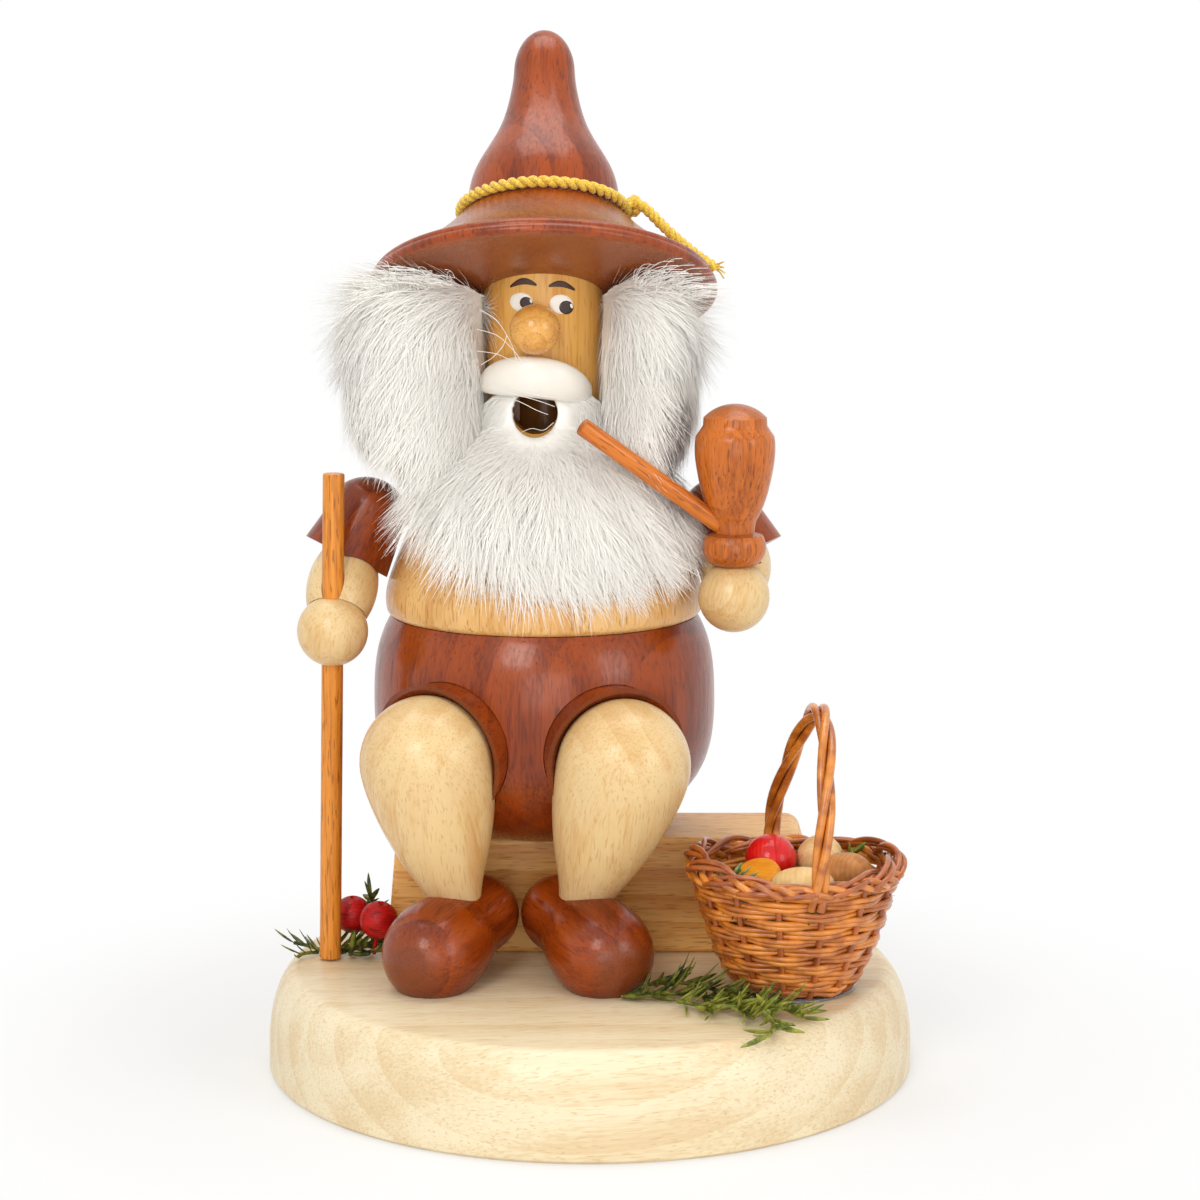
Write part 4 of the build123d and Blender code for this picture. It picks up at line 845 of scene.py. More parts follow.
def hair_strand(name, length, width, sections=3):
    """One tapered ribbon that rises from the skin and lies over towards +X."""
    points, faces, along = [], [], []
    for n in range(sections + 1):
        t = n / sections
        x = length * (0.50 * t + 0.46 * t * t)
        z = length * (0.25 * t - 0.18 * t * t)
        half = width * (1 - 0.9 * t**1.6) / 2
        points += [(x, -half, z), (x, half, z)]
        along += [t, t]
        if n:
            faces.append((2 * n - 2, 2 * n, 2 * n + 1, 2 * n - 1))
    mesh = mesh_of(name, points, (), faces)
    mesh.attributes.new("along", "FLOAT", "POINT").data.foreach_set("value", along)
    return bpy.data.objects.new(name, mesh)


def evened(piece, voxel, rounds):
    """The piece with even faces, softened."""
    remesh = piece.modifiers.new("even", "REMESH")
    remesh.mode = "VOXEL"
    remesh.voxel_size = voxel * MM
    remesh.use_smooth_shade = True
    soften = piece.modifiers.new("soften", "SMOOTH")
    soften.factor = 0.5
    soften.iterations = rounds
    mesh, name = as_made(piece), piece.name
    bpy.data.objects.remove(piece)
    return placed(name, mesh)


def surface_of(skin):
    """A skin's places in millimetres and its normals."""
    count = len(skin.data.vertices)
    places, normals = np.zeros(count * 3), np.zeros(count * 3)
    skin.data.vertices.foreach_get("co", places)
    skin.data.vertices.foreach_get("normal", normals)
    return places.reshape(-1, 3) / MM, normals.reshape(-1, 3)


def unit(rows):
    return rows / np.maximum(np.linalg.norm(rows, axis=1, keepdims=True), 1e-9)


def furred(skin, node, slot, name, flow, normals, stand, thick, reach, **values):
    """Combs a skin and grows its strands, which together stand for the node. Each row of flow,
    stand, thick and reach is for one point of the skin: the way the strands lie, how upright they
    start, how dense they are and how long."""
    tangent = unit(flow - normals * np.sum(flow * normals, axis=1, keepdims=True))
    lift = unit(normals * stand[:, None] + tangent * (1 - stand[:, None]))
    for label, rows, kind, field in (
        ("comb", tangent, "FLOAT_VECTOR", "vector"), ("lift", lift, "FLOAT_VECTOR", "vector"),
        ("thick", thick, "FLOAT", "value"), ("reach_share", reach, "FLOAT", "value"),
    ):
        skin.data.attributes.new(label, kind, "POINT").data.foreach_set(field, rows.ravel())
    strands = grown(placed(name, skin.data.copy()), name, fur_strands, **values)
    settled(strands, body_of(node), None)
    settled(skin, body_of(node), values["finish"], [node])


# The hair's outline from above, from the face's edge round the outside to the back of the head.
# Places are from the head's axis.
LOCK = ((-8.6, -7.2), (-12.5, -15), (-20, -20.5), (-29, -20), (-36.5, -11), (-38.6, 1), (-36.0, 14),
        (-28, 23), (-16, 27), (-4, 26.5), (1.6, 20), (1.2, 11.0), (-6, 8.8), (-9.8, 3), (-9.8, -2))
LOCK_EDGE = -9.8
# Levels of the hair: height, spread across and in depth, and a shift of the whole outline.
LEVELS = ((142.0, 0.84, 0.70, 0, 0), (138.5, 0.95, 0.88, 0, 0), (133, 1.0, 1.0, 0, 0),
          (122, 1.0, 1.0, 0, 0), (116, 0.93, 0.97, 0, -1), (111.5, 0.74, 0.84, -0.5, -3),
          (108, 0.52, 0.60, -2, -8), (104.5, 0.32, 0.34, -3.5, -14.5), (102, 0.16, 0.14, -5, -18))
CORE_DEPTH = 2.2


def hair_skin(name, side, width):
    """A lock that hangs from under the brim round one side of the head."""
    points = []
    outline = rounded([(*place, 0) for place in LOCK + LOCK[:1]], 5)[:-1]
    count, levels = len(outline), len(LEVELS)
    for height, across, depth, shift, forward in LEVELS:
        for x, y, _ in outline:
            east = LOCK_EDGE + (x - LOCK_EDGE) * across + shift
            north = 1.5 + (y - 1.5) * depth + forward
            if east < LOCK_EDGE:
                east = LOCK_EDGE + (east - LOCK_EDGE) * width
            tilt = np.clip((height - 122) / 20, 0, 1) ** 1.5
            points.append((FIGURE[0] + side * east, FIGURE[1] + north,
                           height - BRIM_SLOPE * north * tilt))
    faces = band(levels, count)
    if side > 0:
        faces = [(a, d, c, b) for a, b, c, d in faces]
    top, foot = list(range(count)), list(range((levels - 1) * count, levels * count))
    faces += [top[::side], foot[::-side]]
    piece = new_piece(name, points, faces)
    with reworked(piece.data) as work:
        bmesh.ops.recalc_face_normals(work, faces=work.faces)
        bmesh.ops.triangulate(work, faces=[face for face in work.faces if len(face.verts) > 4])
    skin = evened(piece, 1.0, 10)
    places, normals = surface_of(skin)
    skin.data.vertices.foreach_set("co", ((places - CORE_DEPTH * normals) * MM).ravel())
    skin.data.update()
    return skin


def away_from_head(places):
    """How far each place is from the head's axis, and the direction away from it."""
    away = places - np.array((*FIGURE, 0))
    away[:, 2] = 0
    return np.linalg.norm(away, axis=1), unit(away)


def hair_rule(places, normals):
    """Hair falls away from the face, rises over the brim's edge and hangs free at the foot."""
    x, y, z = places.T
    reach, away = away_from_head(places)
    down = np.tile((0.0, 0.0, -1.0), (len(places), 1))
    brim_room = HAT_CENTRE[2] - BRIM_SLOPE * (y - FIGURE[1]) - z
    high = np.clip((10 - brim_room) / 8, 0, 1)[:, None]
    low = np.clip((118 - z) / 10, 0, 1)[:, None]
    flow = down * (1 - high * 1.15) + away * (0.30 + high * 1.0 - low * 0.15)
    flow[:, 0] += np.sin(x * 0.55 + 1.3) * np.cos(z * 0.45) * 0.22
    flow[:, 1] += np.sin(z * 0.5 + x * 0.4) * 0.2
    hidden = (reach < HEAD_RADIUS + 0.8) | ((brim_room < 2.2) & (reach < 24))
    hidden |= (reach < 22) & (z < 112)
    thick = np.where(hidden, 0.03, np.where(y > 30, 0.8, 1.0))
    stand = 0.97 + 0.16 * high[:, 0] + 0.1 * low[:, 0]
    length = np.where((reach < 16) & (y < 12), 0.5, 1.0) + 0.08 * low[:, 0]
    return flow, normals, stand, thick, length


# The beard by angle round the chest: its hem's height. By height: its reach from the head's axis.
HEM_ANGLES = (-66, -52, -38, -22, -6, 10, 28, 45, 57, 66)
HEM_HEIGHTS = (109, 105, 101, 97, 94.4, 93.6, 94, 95.5, 98.5, 103)
TOP_ANGLES, TOP_HEIGHTS = (0, 25, 45, 66), (125.6, 125.4, 124, 121)
CHEST_HEIGHTS = (88, 93, 98, 103, 107, 111, 115, 118.5, 126)
CHEST_RADII = (30.2, 30.4, 30.4, 29.2, 26.8, 23.2, 18.0, 13.8, 12.2)
FACE_BACK = 9


def beard_skin(name, columns=89, rows=52):
    """The beard's sheet, from under the moustache round the mouth and over the chest to its hem."""
    angles = np.radians(np.linspace(-66, 66, columns))
    points, faces = [], []
    for row in range(rows):
        t = row / (rows - 1)
        for angle in angles:
            turn = np.degrees(angle)
            hem = np.interp(turn, HEM_ANGLES, HEM_HEIGHTS)
            top = np.interp(abs(turn), TOP_ANGLES, TOP_HEIGHTS)
            z = top + (hem - top) * t
            r = np.interp(z, CHEST_HEIGHTS, CHEST_RADII)
            r += 0.5 * sin(0.35 * turn + z * 0.25) * min(1.0, max(0.0, (118 - z) / 10))
            points.append((FIGURE[0] + r * sin(angle), FIGURE[1] - r * cos(angle), z))
    for row in range(rows - 1):
        for n in range(columns - 1):
            a = row * columns + n
            x, y, z = points[a]
            if hypot(x + 0.12 - MOUTH[0], z - 0.2 - MOUTH[1]) < 4.5 and y < FACE_BACK:
                continue
            faces.append((a, a + columns, a + columns + 1, a + 1))
    piece = new_piece(name, points, faces)
    with reworked(piece.data) as work:
        loose = [vert for vert in work.verts if not vert.link_faces]
        bmesh.ops.delete(work, geom=loose, context="VERTS")
        for vert in work.verts:
            away = Vector((vert.co.x / MM - MOUTH[0], vert.co.z / MM - MOUTH[1]))
            if vert.is_boundary and away.length < 6 and vert.co.y < FACE_BACK * MM:
                away *= 4.3 / away.length
                vert.co.x, vert.co.z = (MOUTH[0] + away.x) * MM, (MOUTH[1] + away.y) * MM
    return piece


def beard_rule(places, normals):
    """The beard falls from the mouth, spreads, and turns to the figure's left at its hem."""
    x, y, z = places.T
    away = away_from_head(places)[1]
    low = np.clip((108 - z) / 12, 0, 1)
    side = (x - FIGURE[0]) / 26
    flow = np.tile((0.0, 0.0, -1.0), (len(places), 1)) + away * 0.2
    flow[:, 0] += side * (0.45 + 0.3 * low) + low * 0.35
    flow[:, 0] += np.sin(z * 0.3 + x * 0.25) * 0.18
    mouth = np.hypot(x - MOUTH[0], z - MOUTH[1])
    near = np.clip((mouth - 4.6) / 5, 0, 1)
    flow[:, 0] += np.where((mouth < 8) & (y < FACE_BACK), (x - MOUTH[0]) * 0.2, 0)
    thick = np.where(normals[:, 1] > 0.75, 0.3, 1.0) * np.where(mouth < 4.9, 0.0, 1.0)
    stand = np.where(z < 96, 0.9, 0.96)
    length = 0.30 + 0.72 * np.where(y < FACE_BACK, near, 1.0)
    return flow, normals, stand, thick, length


def thickened(sheet, depth):
    """Turns a sheet into a closed shell."""
    wall = sheet.modifiers.new("wall", "SOLIDIFY")
    wall.thickness = depth * MM
    wall.offset = -1.0
    mesh = as_made(sheet)
    sheet.modifiers.remove(wall)
    sheet.data = mesh


long_hair = hair_strand("long_hair", 10.5, 0.19)


def fur(node, skin, rule, density, seed, scatter):
    furred(skin, node, "fur", node + "_fur", *rule(*surface_of(skin)), strand=long_hair,
           finish=white_fur, per_square_metre=density, seed=seed, scatter=scatter)


fur("right_hair", hair_skin("right_hair_core", 1, 1.0), hair_rule, 5.2e6, 11, 0.46)
fur("left_hair", hair_skin("left_hair_core", -1, 0.70), hair_rule, 5.6e6, 23, 0.46)
beard_sheet = beard_skin("beard_core")
fur("beard", beard_sheet, beard_rule, 6.6e6, 37, 0.42)
thickened(beard_sheet, 0.8)


def brim_hairs(start, stop, sway, count, seed):
    """Single hairs that rise from the top of a lock in front of the brim's edge."""
    chance = np.random.RandomState(seed)
    routes = []
    for _ in range(count):
        share = chance.rand()
        root = np.array(start) + (np.array(stop) - np.array(start)) * share
        root = root + chance.uniform(-0.8, 0.8, 3)
        lean = chance.uniform(*sway)
        rise = chance.uniform(1.5, 6.0) * (1 - 0.55 * abs(2 * share - 0.7))
        bends = ((0, 0, 0), (lean * 0.2, -1.3, rise * 0.5), (lean * 0.55, -2.3, rise * 0.85),
                 (lean, -2.6, rise * 0.9))
        routes.append(rounded([root + bend for bend in bends], 4))
    return routes


stray_routes = [rounded(route, 5) for route in (
    [(-20.5, 1.5, 132.5), (-17.0, 1.0, 132.0), (-13.6, -1.6, 130.8), (-11.2, -2.8, 130.9)],
    [(-20.5, 1.0, 136.5), (-16.8, 0.2, 135.4), (-13.9, -1.9, 133.0), (-12.0, -3.2, 130.6)],
    [(-20.0, 1.8, 140.0), (-16.8, 0.8, 138.0), (-14.2, -1.2, 134.0), (-13.2, -2.4, 131.0)],
    [(-19.8, 1.2, 130.0), (-17.4, 0.2, 131.6), (-15.6, -0.4, 133.8), (-15.0, -0.6, 135.6)],
    [(-18.5, 1.0, 126.0), (-14.0, -1.8, 125.0), (-9.5, -2.2, 123.8), (-6.4, -1.0, 122.6)],
    [(-18.0, 0.8, 124.0), (-13.6, -1.2, 123.8), (-9.8, -1.2, 122.0), (-7.6, 0.2, 121.0)],
    [(-17.0, 0.5, 127.0), (-12.5, -2.2, 125.6), (-8.5, -2.6, 124.6), (-5.6, -1.4, 124.2)],
    [(-12.5, 2.2, 117.6), (-10.5, 1.2, 118.4), (-8.5, 1.4, 118.0), (-6.6, 1.8, 119.4)],
)]
stray_routes += brim_hairs((-40.0, 1.5, 142.5), (-24.0, -5.0, 145.5), (-9.0, 1.5), 110, 3)
stray_routes += brim_hairs((8.0, -4.5, 145.0), (18.5, 1.0, 142.0), (0.5, 9.5), 70, 5)
laid("stray_hairs", stray_routes, "upper", white_fur, 0.06, 0.6, sides=4)


# The twisted cord round the crown, its knot and its tail

gold, shader, place = finish("gold_cord", 0.5, 0.4)
shader.inputs["Sheen Weight"].default_value = 0.4
threads = noise(place, 2.6, 3, 0.7)
toned(shader, blended(between(threads, 0.35, 0.65), (216, 164, 26), (252, 224, 84)))
raised(shader, threads, 0.6, 0.12)

CORD_RING = 15.55
CORD_TURNS = 25
TAIL_ANGLE = radians(5)


def hat_place(radius, angle, height):
    """A place on the hat, from its axis: the angle runs from +X towards the hat's front."""
    across = Vector((cos(angle), -cos(HAT_TILT) * sin(angle), sin(HAT_TILT) * sin(angle)))
    return Vector(HAT_CENTRE) + across * radius + Vector(HAT_AXIS) * height


def tail_place(radius, turn, height):
    return hat_place(radius, TAIL_ANGLE + turn, height)


ring = [hat_place(CORD_RING, 2 * pi * n / 240, 16.6) for n in range(240)]
tail = rounded([
    tail_place(17.0, 0.05, 17.9), tail_place(19.2, 0.02, 16.7), tail_place(22.5, 0, 13.2),
    tail_place(26.4, -0.01, 9.4), tail_place(30.2, 0, 6.1), tail_place(32.3, 0.01, 4.5),
])
knot = [tail_place(16.7 + 1.0 * cos(2 * t), 0.075 * sin(t), 17.4 + 1.1 * sin(3 * t))
        for t in (2 * pi * step / 48 for step in range(49))]
frays = [[
    tail_place(32.0, 0.012 * n - 0.03, 4.9),
    tail_place(33.0, 0.018 * n - 0.045, 4.2 + 0.35 * (n % 3)),
    tail_place(33.7 + 0.2 * (n % 2), 0.03 * n - 0.075, 3.4 + 0.7 * (n % 3)),
] for n in range(6)]
laid("hat_cord_ring", [ring], "upper", gold, 0.60, 0.35, 2,
     CORD_TURNS / (2 * pi * CORD_RING * MM), 0.56, closed=True, replaces=["hat_cord"])
laid("hat_cord_tail", [tail], "upper", gold, 0.58, 0.3, 2, 350.0, 0.52)
laid("hat_cord_knot", [knot], "upper", gold, 0.52, 0.35, 2, 350.0, 0.40)
laid("hat_cord_fray", frays, "upper", gold, 0.16, 0.4, sides=5)


# Basket: stakes, woven rows, a looped border and a bent handle

osier = osier_material("osier", (226, 140, 50), (164, 82, 20), (98, 40, 10))
osier_dark = osier_material("osier_dark", (190, 102, 38), (138, 64, 22), (84, 34, 12))
WALL_HEIGHT = 21.6
FOOT_RADIUS = 9.4
RIM_RADIUS = 18.3
RIM = BASKET_FOOT + WALL_HEIGHT
FLARE = 0.62
STAKES = 14


def basket_place(radius, angle, height):
    return (BASKET[0] + radius * cos(angle), BASKET[1] + radius * sin(angle), BASKET_FOOT + height)


def wall_place(level, angle):
    radius = FOOT_RADIUS + (RIM_RADIUS - FOOT_RADIUS) * level**FLARE
    return basket_place(radius, angle, WALL_HEIGHT * level)


weave = grown(paths("weave_start", [[(0, 0, 0), (1, 0, 0)]]), "basket_weave", basket_rods,
              finish=osier, foot_radius=FOOT_RADIUS * MM, rim_radius=RIM_RADIUS * MM,
              rod_radius=0.52 * MM, depth=0.62 * MM, height=(WALL_HEIGHT - 0.4) * MM)
weave.data.transform(Matrix.Translation((BASKET[0] * MM, BASKET[1] * MM, (BASKET_FOOT + 0.5) * MM)))
settled(weave, "lower", None, ["basket_wall"])

stakes = [[wall_place(n / 12, 2 * pi * k / STAKES) for n in range(13)] for k in range(STAKES)]
laid("basket_stakes", stakes, "lower", osier_dark, 0.6, 1.0)

loops = []
for k in range(STAKES):
    start = 2 * pi * k / STAKES
    span = 2 * pi * 2.3 / STAKES
    rise = 1.6 + 3.0 * abs(cos(start + span / 2)) ** 2
    for twin in (0, 1):
        sweep = 1 if twin else 0.7
        loops.append([basket_place(
            RIM_RADIUS - 0.5 + 1.5 * sin(2 * pi * t + 0.4) * sweep + twin * 0.5,
            start + span * t + twin * 0.05,
            WALL_HEIGHT - 0.6 + (rise - twin * 0.9) * sin(pi * t) ** 0.8,
        ) for t in (n / 24 for n in range(25))])
laid("basket_border_loops", loops, "lower", osier_dark, 0.52, 0.6,
     replaces=["basket_border"])

PLAIT_RADIUS = RIM_RADIUS + 0.1
plait = [basket_place(PLAIT_RADIUS, t, WALL_HEIGHT + 0.3 + 0.25 * sin(5 * t))
         for t in (2 * pi * n / 200 for n in range(200))]
laid("basket_border_plait", [plait], "lower", osier, 0.62, 0.5, 3,
     9 / (2 * pi * PLAIT_RADIUS * MM), 0.85, closed=True)

handle = rounded([
    (39.6, -34.6, 37.5), (40.3, -36.0, 44.0), (41.1, -34.4, 54.5), (41.6, -29.0, 64.2),
    (41.5, -21.0, 69.3), (40.2, -12.6, 68.0), (37.4, -4.8, 59.6), (34.8, -0.4, 50.0),
    (33.8, 1.0, 43.5), (34.2, -0.4, 37.5),
])
laid("basket_handle_rods", [handle], "lower", osier, 0.78, 0.8, 3, 24.0, 0.95, sides=10,
     replaces=["basket_handle"])
plain("basket_floor", osier_dark)


# Glue that shows round the basket's foot

glue, shader, place = finish("clear_glue", 0.12, coat=0.6)
toned(shader, (206, 204, 206))
shader.inputs["Transmission Weight"].default_value = 0.75
shader.inputs["IOR"].default_value = 1.45
raised(shader, noise(place, 0.9), 0.4, 0.2)
GLUE_STEPS, GLUE_SIDES = 96, 10
bead_points, bead_faces = [], []
for n in range(GLUE_STEPS):
    turn = 2 * pi * n / GLUE_STEPS
    swell = 0.55 + 0.35 * sin(turn * 3 + 0.6) + 0.55 * max(0.0, cos(turn + 0.6)) ** 2
    for m in range(GLUE_SIDES):
        around = 2 * pi * m / GLUE_SIDES
        radius = 9.3 + swell * 0.9 + swell * 0.9 * cos(around)
        x, y, _ = basket_place(radius, turn, 0)
        bead_points.append((x, y, BASE_TOP + 0.35 * swell + 0.02 + 0.35 * swell * sin(around)))
        here, there = n * GLUE_SIDES, (n + 1) % GLUE_STEPS * GLUE_SIDES
        after = (m + 1) % GLUE_SIDES
        bead_faces.append((here + m, there + m, there + after, here + after))
glue_bead = new_piece("basket_glue_bead", bead_points, bead_faces)
settled(glue_bead, "lower", glue, ["basket_glue"])


# Moss and what lies on it

moss_green = leaf_material("moss_green", (108, 140, 74), (58, 84, 34), (150, 172, 112))
pale_moss = leaf_material("pale_moss", (184, 200, 140), (124, 150, 84), (214, 224, 178))
moss_leaf = hair_strand("moss_leaf", 2.2, 0.7)
moss_bed = evened(merged_copy("basket_moss", "moss_bed"), 0.8, 4)
places, normals = surface_of(moss_bed)
top = normals[:, 2] > 0.6
x, y = places[:, 0], places[:, 1]
places[:, 2] += np.where(top, np.sin(x * 1.7) * np.cos(y * 1.9) * 0.5 - 0.2, 0)
moss_bed.data.vertices.foreach_set("co", (places * MM).ravel())
edge = np.hypot(x - BASKET[0], y - BASKET[1])
flow = np.stack((np.sin(y * 2.3), np.cos(x * 2.1), np.zeros(len(x))), axis=1)
thick = np.where(top, np.where(edge > 9, 1.0, 0.35), 0.0)
furred(moss_bed, "basket_moss", "moss", "moss_curls", flow, normals, np.full(len(x), 0.75), thick,
       np.where(edge > 11, 1.25, 0.8), strand=moss_leaf, seed=5, finish=moss_green, scatter=1.4,
       clump=1.6 * MM, per_square_metre=2.4e6, clump_scale=400.0)

SLICE = ((0, -2.6), (2.6, -2.5), (3.9, -1.5), (4.35, 0.0), (4.3, 0.9), (3.9, 1.5), (3.2, 1.7),
         (1.6, 1.75), (0, 1.8))

for node, name, outline, shift, lean, dents, slot, tones in (
    ("red_fruit", "apple", oval_outline(4.7, 4.3), (0, -1.0, 0.6), (0.25, -0.3, 0.9),
     lambda a, h: 0.012 * sin(3 * a), "red_paint",
     ("apple_red", (232, 16, 12), (192, 8, 8), (0.9, -0.3, 0.3), 0.8, 0.15, 0.5)),
    ("orange_fruit", "orange_half", softened(SLICE, 3), (0.2, 0.4, -0.9), (-0.28, -0.42, 0.9),
     None, "orange_paint",
     ("orange_slice", (238, 156, 24), (216, 118, 10), (0.2, 0.4, 0.9), 0.7, 0.15)),
    ("pale_fruit", "pale_roll", oval_outline(4.3, 4.5, 0.9), (0, 0, 0), (0.2, 0.5, 0.8),
     lambda a, h: 0.02 * sin(2 * a + h), "bread_wood",
     ("bread_pale", (242, 206, 150), (220, 174, 112), (0.3, 0.9, 0.2), 0.7, 0.3)),
    ("bun", "brown_bun", oval_outline(4.5, 5.3, 0.92), (-1.2, -0.4, -1.3), (1, -0.25, 0.06),
     lambda a, h: 0.02 * sin(3 * a) - 0.015 * cos(h * 1.4), "bread_wood",
     ("bread_brown", (212, 144, 76), (170, 104, 50), (0.8, -0.5, 0.2), 0.8, 0.25)),
    ("loaf", "flat_loaf", oval_outline(3.5, 5.7, 0.8), (0, 0, 0), (1, -0.12, 0.04),
     None, "bread_wood",
     ("loaf_cream", (246, 212, 150), (228, 184, 112), (1, -0.2, 0.1), 0.9, 0.15)),
):
    form = turned_form(name, outline, middle_of(node) + Vector(shift), lean, dents=dents)
    settled(form, "lower", ringed_paint(*tones), [node])


# Fir sprigs, leaves and berries

NEEDLE_SECTIONS = ((0.0, 0.25), (0.18, 0.8), (0.45, 1.0), (0.72, 0.8), (0.92, 0.38), (1.0, 0.06))


def needle_mesh(name, length, width, thick):
    """A narrow leaf with a raised back that bends down at its tip, along +Z and facing +X."""
    points = []
    for t, share in NEEDLE_SECTIONS:
        bend = 0.13 * length * t * t
        half, back = width * share / 2, thick * share / 2
        points += [(bend - back, 0, t * length), (bend, half, t * length),
                   (bend + back * 0.7, 0, t * length), (bend, -half, t * length)]
    last = len(points) - 4
    faces = [(a, d, c, b) for a, b, c, d in band(len(NEEDLE_SECTIONS), 4)]
    faces += [(0, 1, 2, 3), (last + 3, last + 2, last + 1, last)]
    return bpy.data.objects.new(name, mesh_of(name, points, (), faces))


sprig_green = leaf_material("sprig_green", (118, 122, 38), (44, 58, 18), (148, 150, 66))
tip_green = leaf_material("tip_green", (158, 160, 60), (92, 108, 32), (188, 188, 104))
fir_needle = needle_mesh("fir_needle", 6.3, 1.1, 0.5)
thin_needle = needle_mesh("thin_needle", 5.0, 0.7, 0.4)
broad_leaf = needle_mesh("broad_leaf", 5.2, 1.5, 0.5)
curl_leaf = needle_mesh("curl_leaf", 2.6, 0.9, 0.35)


LIFT = BASE_TOP + 0.7
LYING = (0, 0, LIFT)
AT_RIM = (0, 0, RIM)


def sprig(name, stems, needle, material, seed, spacing, start, replaces=(), **values):
    """Stems with needles. Their places are from the start."""
    stems = [rounded([np.array(place) + start for place in stem], 6) for stem in stems]
    piece = grown(paths(name + "_paths", stems), name, needles, needle=needle, finish=material,
                  seed=seed, spacing=spacing * MM, **values)
    settled(piece, "lower", None, replaces)


sprig("basket_sprig_dark", [
    [(5.6, -26.2, 0), (11.5, -25.6, 0.4), (18.5, -27.0, 0.6), (24.5, -29.6, 0.4),
     (30.0, -33.5, 0.2)],
    [(10.6, -20.6, 0.6), (15.5, -22.6, 1.6), (20.5, -24.6, 1.4), (26.0, -28.5, 0.6)],
], fir_needle, sprig_green, 3, 0.62, LYING, ["basket_sprig"])
sprig("basket_sprig_tips", [
    [(15.6, -30.0, 0.3), (19.5, -33.2, 0.5), (21.6, -37.0, 0.4)],
    [(22.5, -31.5, 0.5), (25.6, -36.0, 0.8), (28.6, -40.2, 0.4)],
    [(28.6, -33.6, 0.6), (31.0, -38.5, 1.2), (31.8, -44.0, 0.5), (30.8, -48.6, -0.2)],
    [(30.5, -33.2, 0.6), (34.2, -36.0, 0.8), (37.0, -39.5, 0.3)],
], fir_needle, tip_green, 8, 0.7, LYING)
sprig("moss_tuft_left", [
    [(23.0, -17.0, -2.5), (23.6, -20.0, -0.6), (25.6, -22.6, 0.2)],
    [(25.5, -19.0, -2.0), (26.0, -21.4, -0.4), (28.6, -23.0, -0.6)],
], curl_leaf, pale_moss, 31, 0.5, AT_RIM)
sprig("moss_tuft_right", [
    [(47.4, -9.6, -2.0), (47.0, -10.8, 0.6), (48.0, -12.4, 1.8)],
    [(49.4, -25.4, -3.0), (50.2, -26.4, -1.2), (50.8, -27.2, -0.4)],
], curl_leaf, tip_green, 33, 0.6, AT_RIM)

stick_low, stick_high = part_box("walking_stick")
stick_foot = (stick_low.x / MM + 2.0, (stick_low.y + stick_high.y) / 2 / MM, LIFT)
sprig("berry_sprig_left", [
    [(-1.5, 3.0, 0), (-4.2, 3.6, 0.8), (-7.2, 3.2, 1.6)],
    [(-2.5, 2.2, 0), (-5.0, 0.4, 0.3), (-6.0, -1.0, 0)],
], thin_needle, sprig_green, 14, 1.1, stick_foot, ["berry_sprig"])
sprig("berry_sprig_right", [
    [(-0.5, 4.6, 0), (4.0, 2.4, 0.8), (7.4, -0.2, 0.5)],
    [(2.5, 5.0, 0.4), (7.0, 4.2, 1.2), (10.6, 3.4, 0.8)],
    [(3.4, 2.8, 0.2), (3.8, -0.6, 0.3)],
], fir_needle, sprig_green, 19, 0.95, stick_foot)
low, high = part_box("berry_leaves")
x, y, z = Vector(((low.x + high.x) / 2, (low.y + high.y) / 2, high.z)) / MM
sprig("berry_leaf_crown", [
    [(x, y, LIFT), (x + 0.2, y, LIFT + 5.0), (x, y, z - 3.6)],
    [(x - 0.8, y, z - 3.4), (x, y - 0.4, z - 3.0)],
    [(x + 0.8, y + 0.4, z - 3.4), (x, y, z - 2.9)],
], broad_leaf, sprig_green, 4, 1.6, (0, 0, 0), ["berry_leaves"], closest_angle=1.0,
      widest_angle=1.35)

berry_red = ringed_paint("berry_red", (198, 16, 14), (148, 8, 8), (0.1, -0.1, 1), 0.55, 0.7)
BERRY_OUTLINE = [
    (0, -3.5), (0.5, -3.45), *((3.6 * cos(a), 3.55 * sin(a)) for a in np.radians(range(-76, 81, 8))),
    (0.8, 3.42), (0.35, 3.1), (0, 3.0),
]
for n, (berry, stalk) in enumerate((((-39.6, 0.5, 26.1), (-40.6, 0.9, 19.4)),
                                    ((-45.0, 7.0, 25.4), (-44.8, 7.0, 19.4)))):
    lean = (Vector(berry) - Vector(stalk)).normalized()
    ball = turned_form("berry_%d" % n, BERRY_OUTLINE, berry, (lean.x + 0.1, lean.y - 0.15, lean.z),
                       56, lambda a, h: 0.012 * sin(2 * a + h))
    settled(ball, "lower", berry_red, ["red_berries"])
    stalk_run = [stalk, Vector(berry) - lean * 3.2]
    laid("berry_stalk_%d" % n, [stalk_run], "lower", berry_red, 0.4, 0.5)


# Floor, light and camera

def looked_at(tree):
    """1 where the camera looks, straight or through gloss or a clear body, and 0 for other light."""
    rays = ("Is Camera Ray", "Is Glossy Ray", "Is Transmission Ray")
    return number("MAXIMUM", *put("ShaderNodeLightPath", tree=tree, output=rays))


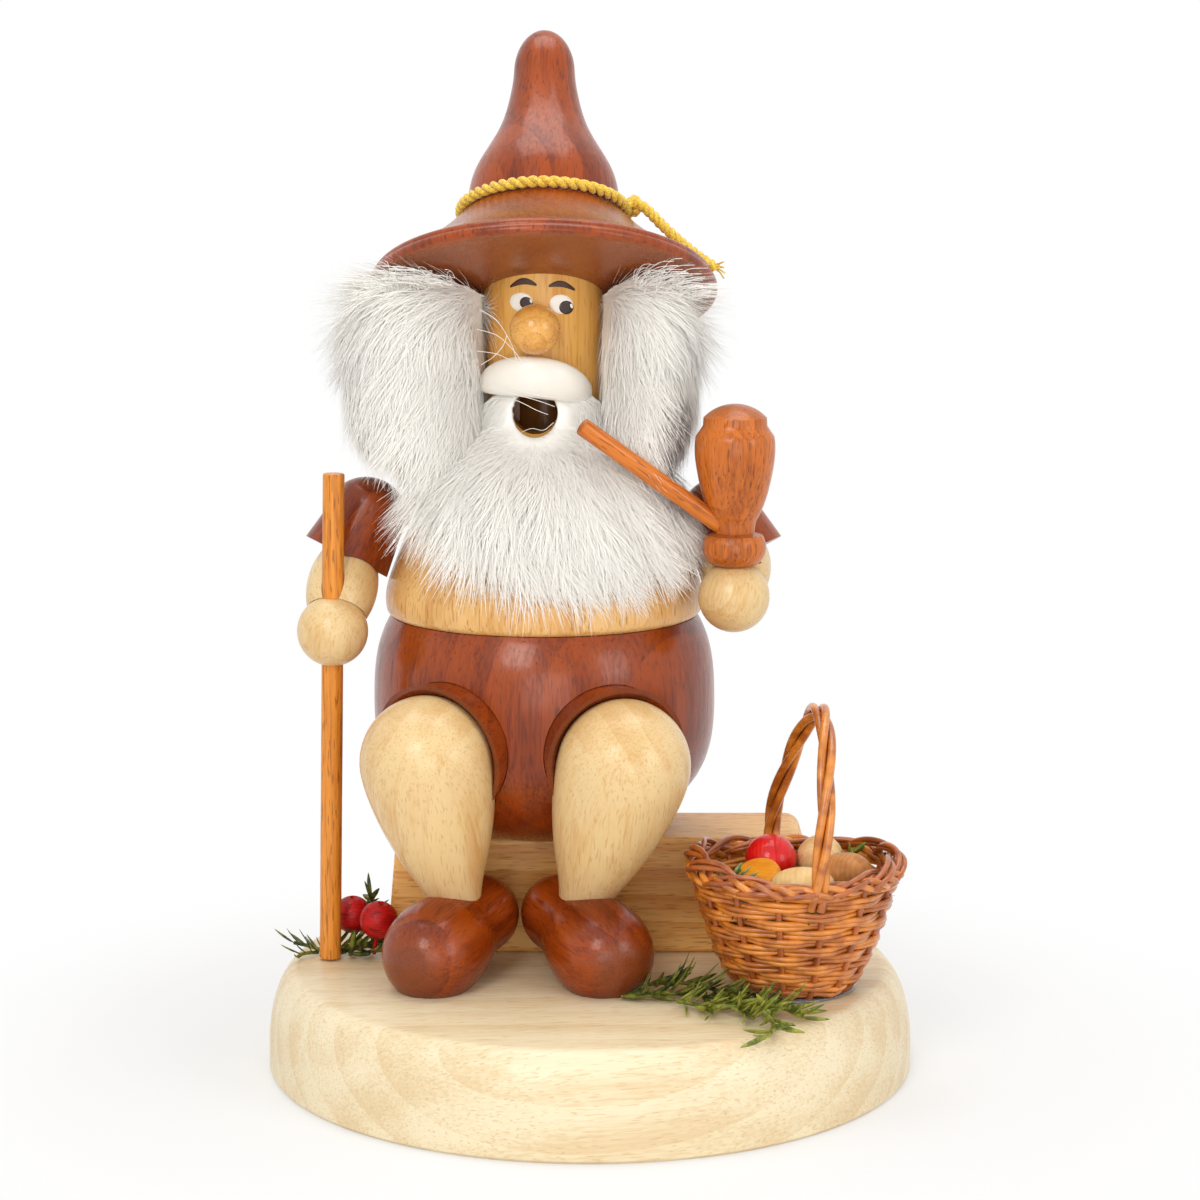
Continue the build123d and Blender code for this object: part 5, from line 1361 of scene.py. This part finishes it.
def studio_floor():
    """A pale floor that keeps the shadow near the object and runs out into white."""
    points = [(-900, -700, 0), (900, -700, 0), (900, 1500, 0), (-900, 1500, 0)]
    floor = new_piece("studio_floor", points, [(0, 1, 2, 3)], smooth=False)
    material, shader, place = finish("studio_white", 0.9, 0.0)
    shader.inputs["Base Color"].default_value = (0.86, 0.86, 0.86, 1)
    glow = put("ShaderNodeEmission", {"Color": (1, 1, 1, 1), "Strength": 1.0}, place.tree)
    far = number("MAXIMUM", between(length_of(place), 62, 150), 0.35)
    feed = {0: looked_at(place.tree) * far, 1: Output(shader.outputs[0]), 2: glow}
    join(put("ShaderNodeMixShader", feed), place.tree.nodes["Material Output"].inputs["Surface"])
    floor.data.materials.append(material)


def studio_world(light):
    """A white world that lights the object at the given strength."""
    world = bpy.data.worlds.new("studio_world")
    bpy.context.scene.world = world
    world.use_nodes = True
    ground = world.node_tree.nodes["Background"]
    ground.inputs["Color"].default_value = (1, 1, 1, 1)
    feed = {0: looked_at(world.node_tree), 2: light, 3: 1.0}
    join(put("ShaderNodeMix", feed, data_type="FLOAT"), ground.inputs["Strength"])


def lamp(name, place, target, size, watts, tint=(1, 1, 1)):
    data = bpy.data.lights.new(name, "AREA")
    data.shape = "RECTANGLE"
    data.size, data.size_y = size
    data.energy = watts
    data.color = tint
    light = placed(name, data)
    light.location = place
    light.rotation_euler = (Vector(target) - Vector(place)).to_track_quat("-Z", "Y").to_euler()


studio_floor()
studio_world(0.58)
lamp("key_lamp", (-0.35, -0.95, 0.75), (0, 0, 0.09), (0.4, 0.5), 4.1, (1.0, 0.985, 0.96))
lamp("front_lamp", (0.05, -1.25, 0.12), (0, 0, 0.1), (0.7, 0.7), 3.1)
lamp("fill_lamp", (0.85, -0.7, 0.45), (0, 0, 0.09), (0.4, 0.5), 1.9)
lamp("top_lamp", (0.0, 0.1, 0.95), (0, 0, 0.08), (0.8, 0.5), 3.7)

camera_data = bpy.data.cameras.new("camera")
camera_data.sensor_width = 36.0
camera_data.lens = 87.518
camera_data.clip_start = 0.02
camera = placed("camera", camera_data)
camera.location = (0.001864, -0.530, 0.170786)
camera.rotation_euler = (radians(81.0006), 0, 0)
bpy.context.scene.camera = camera
bpy.context.scene.view_settings.view_transform = "Standard"
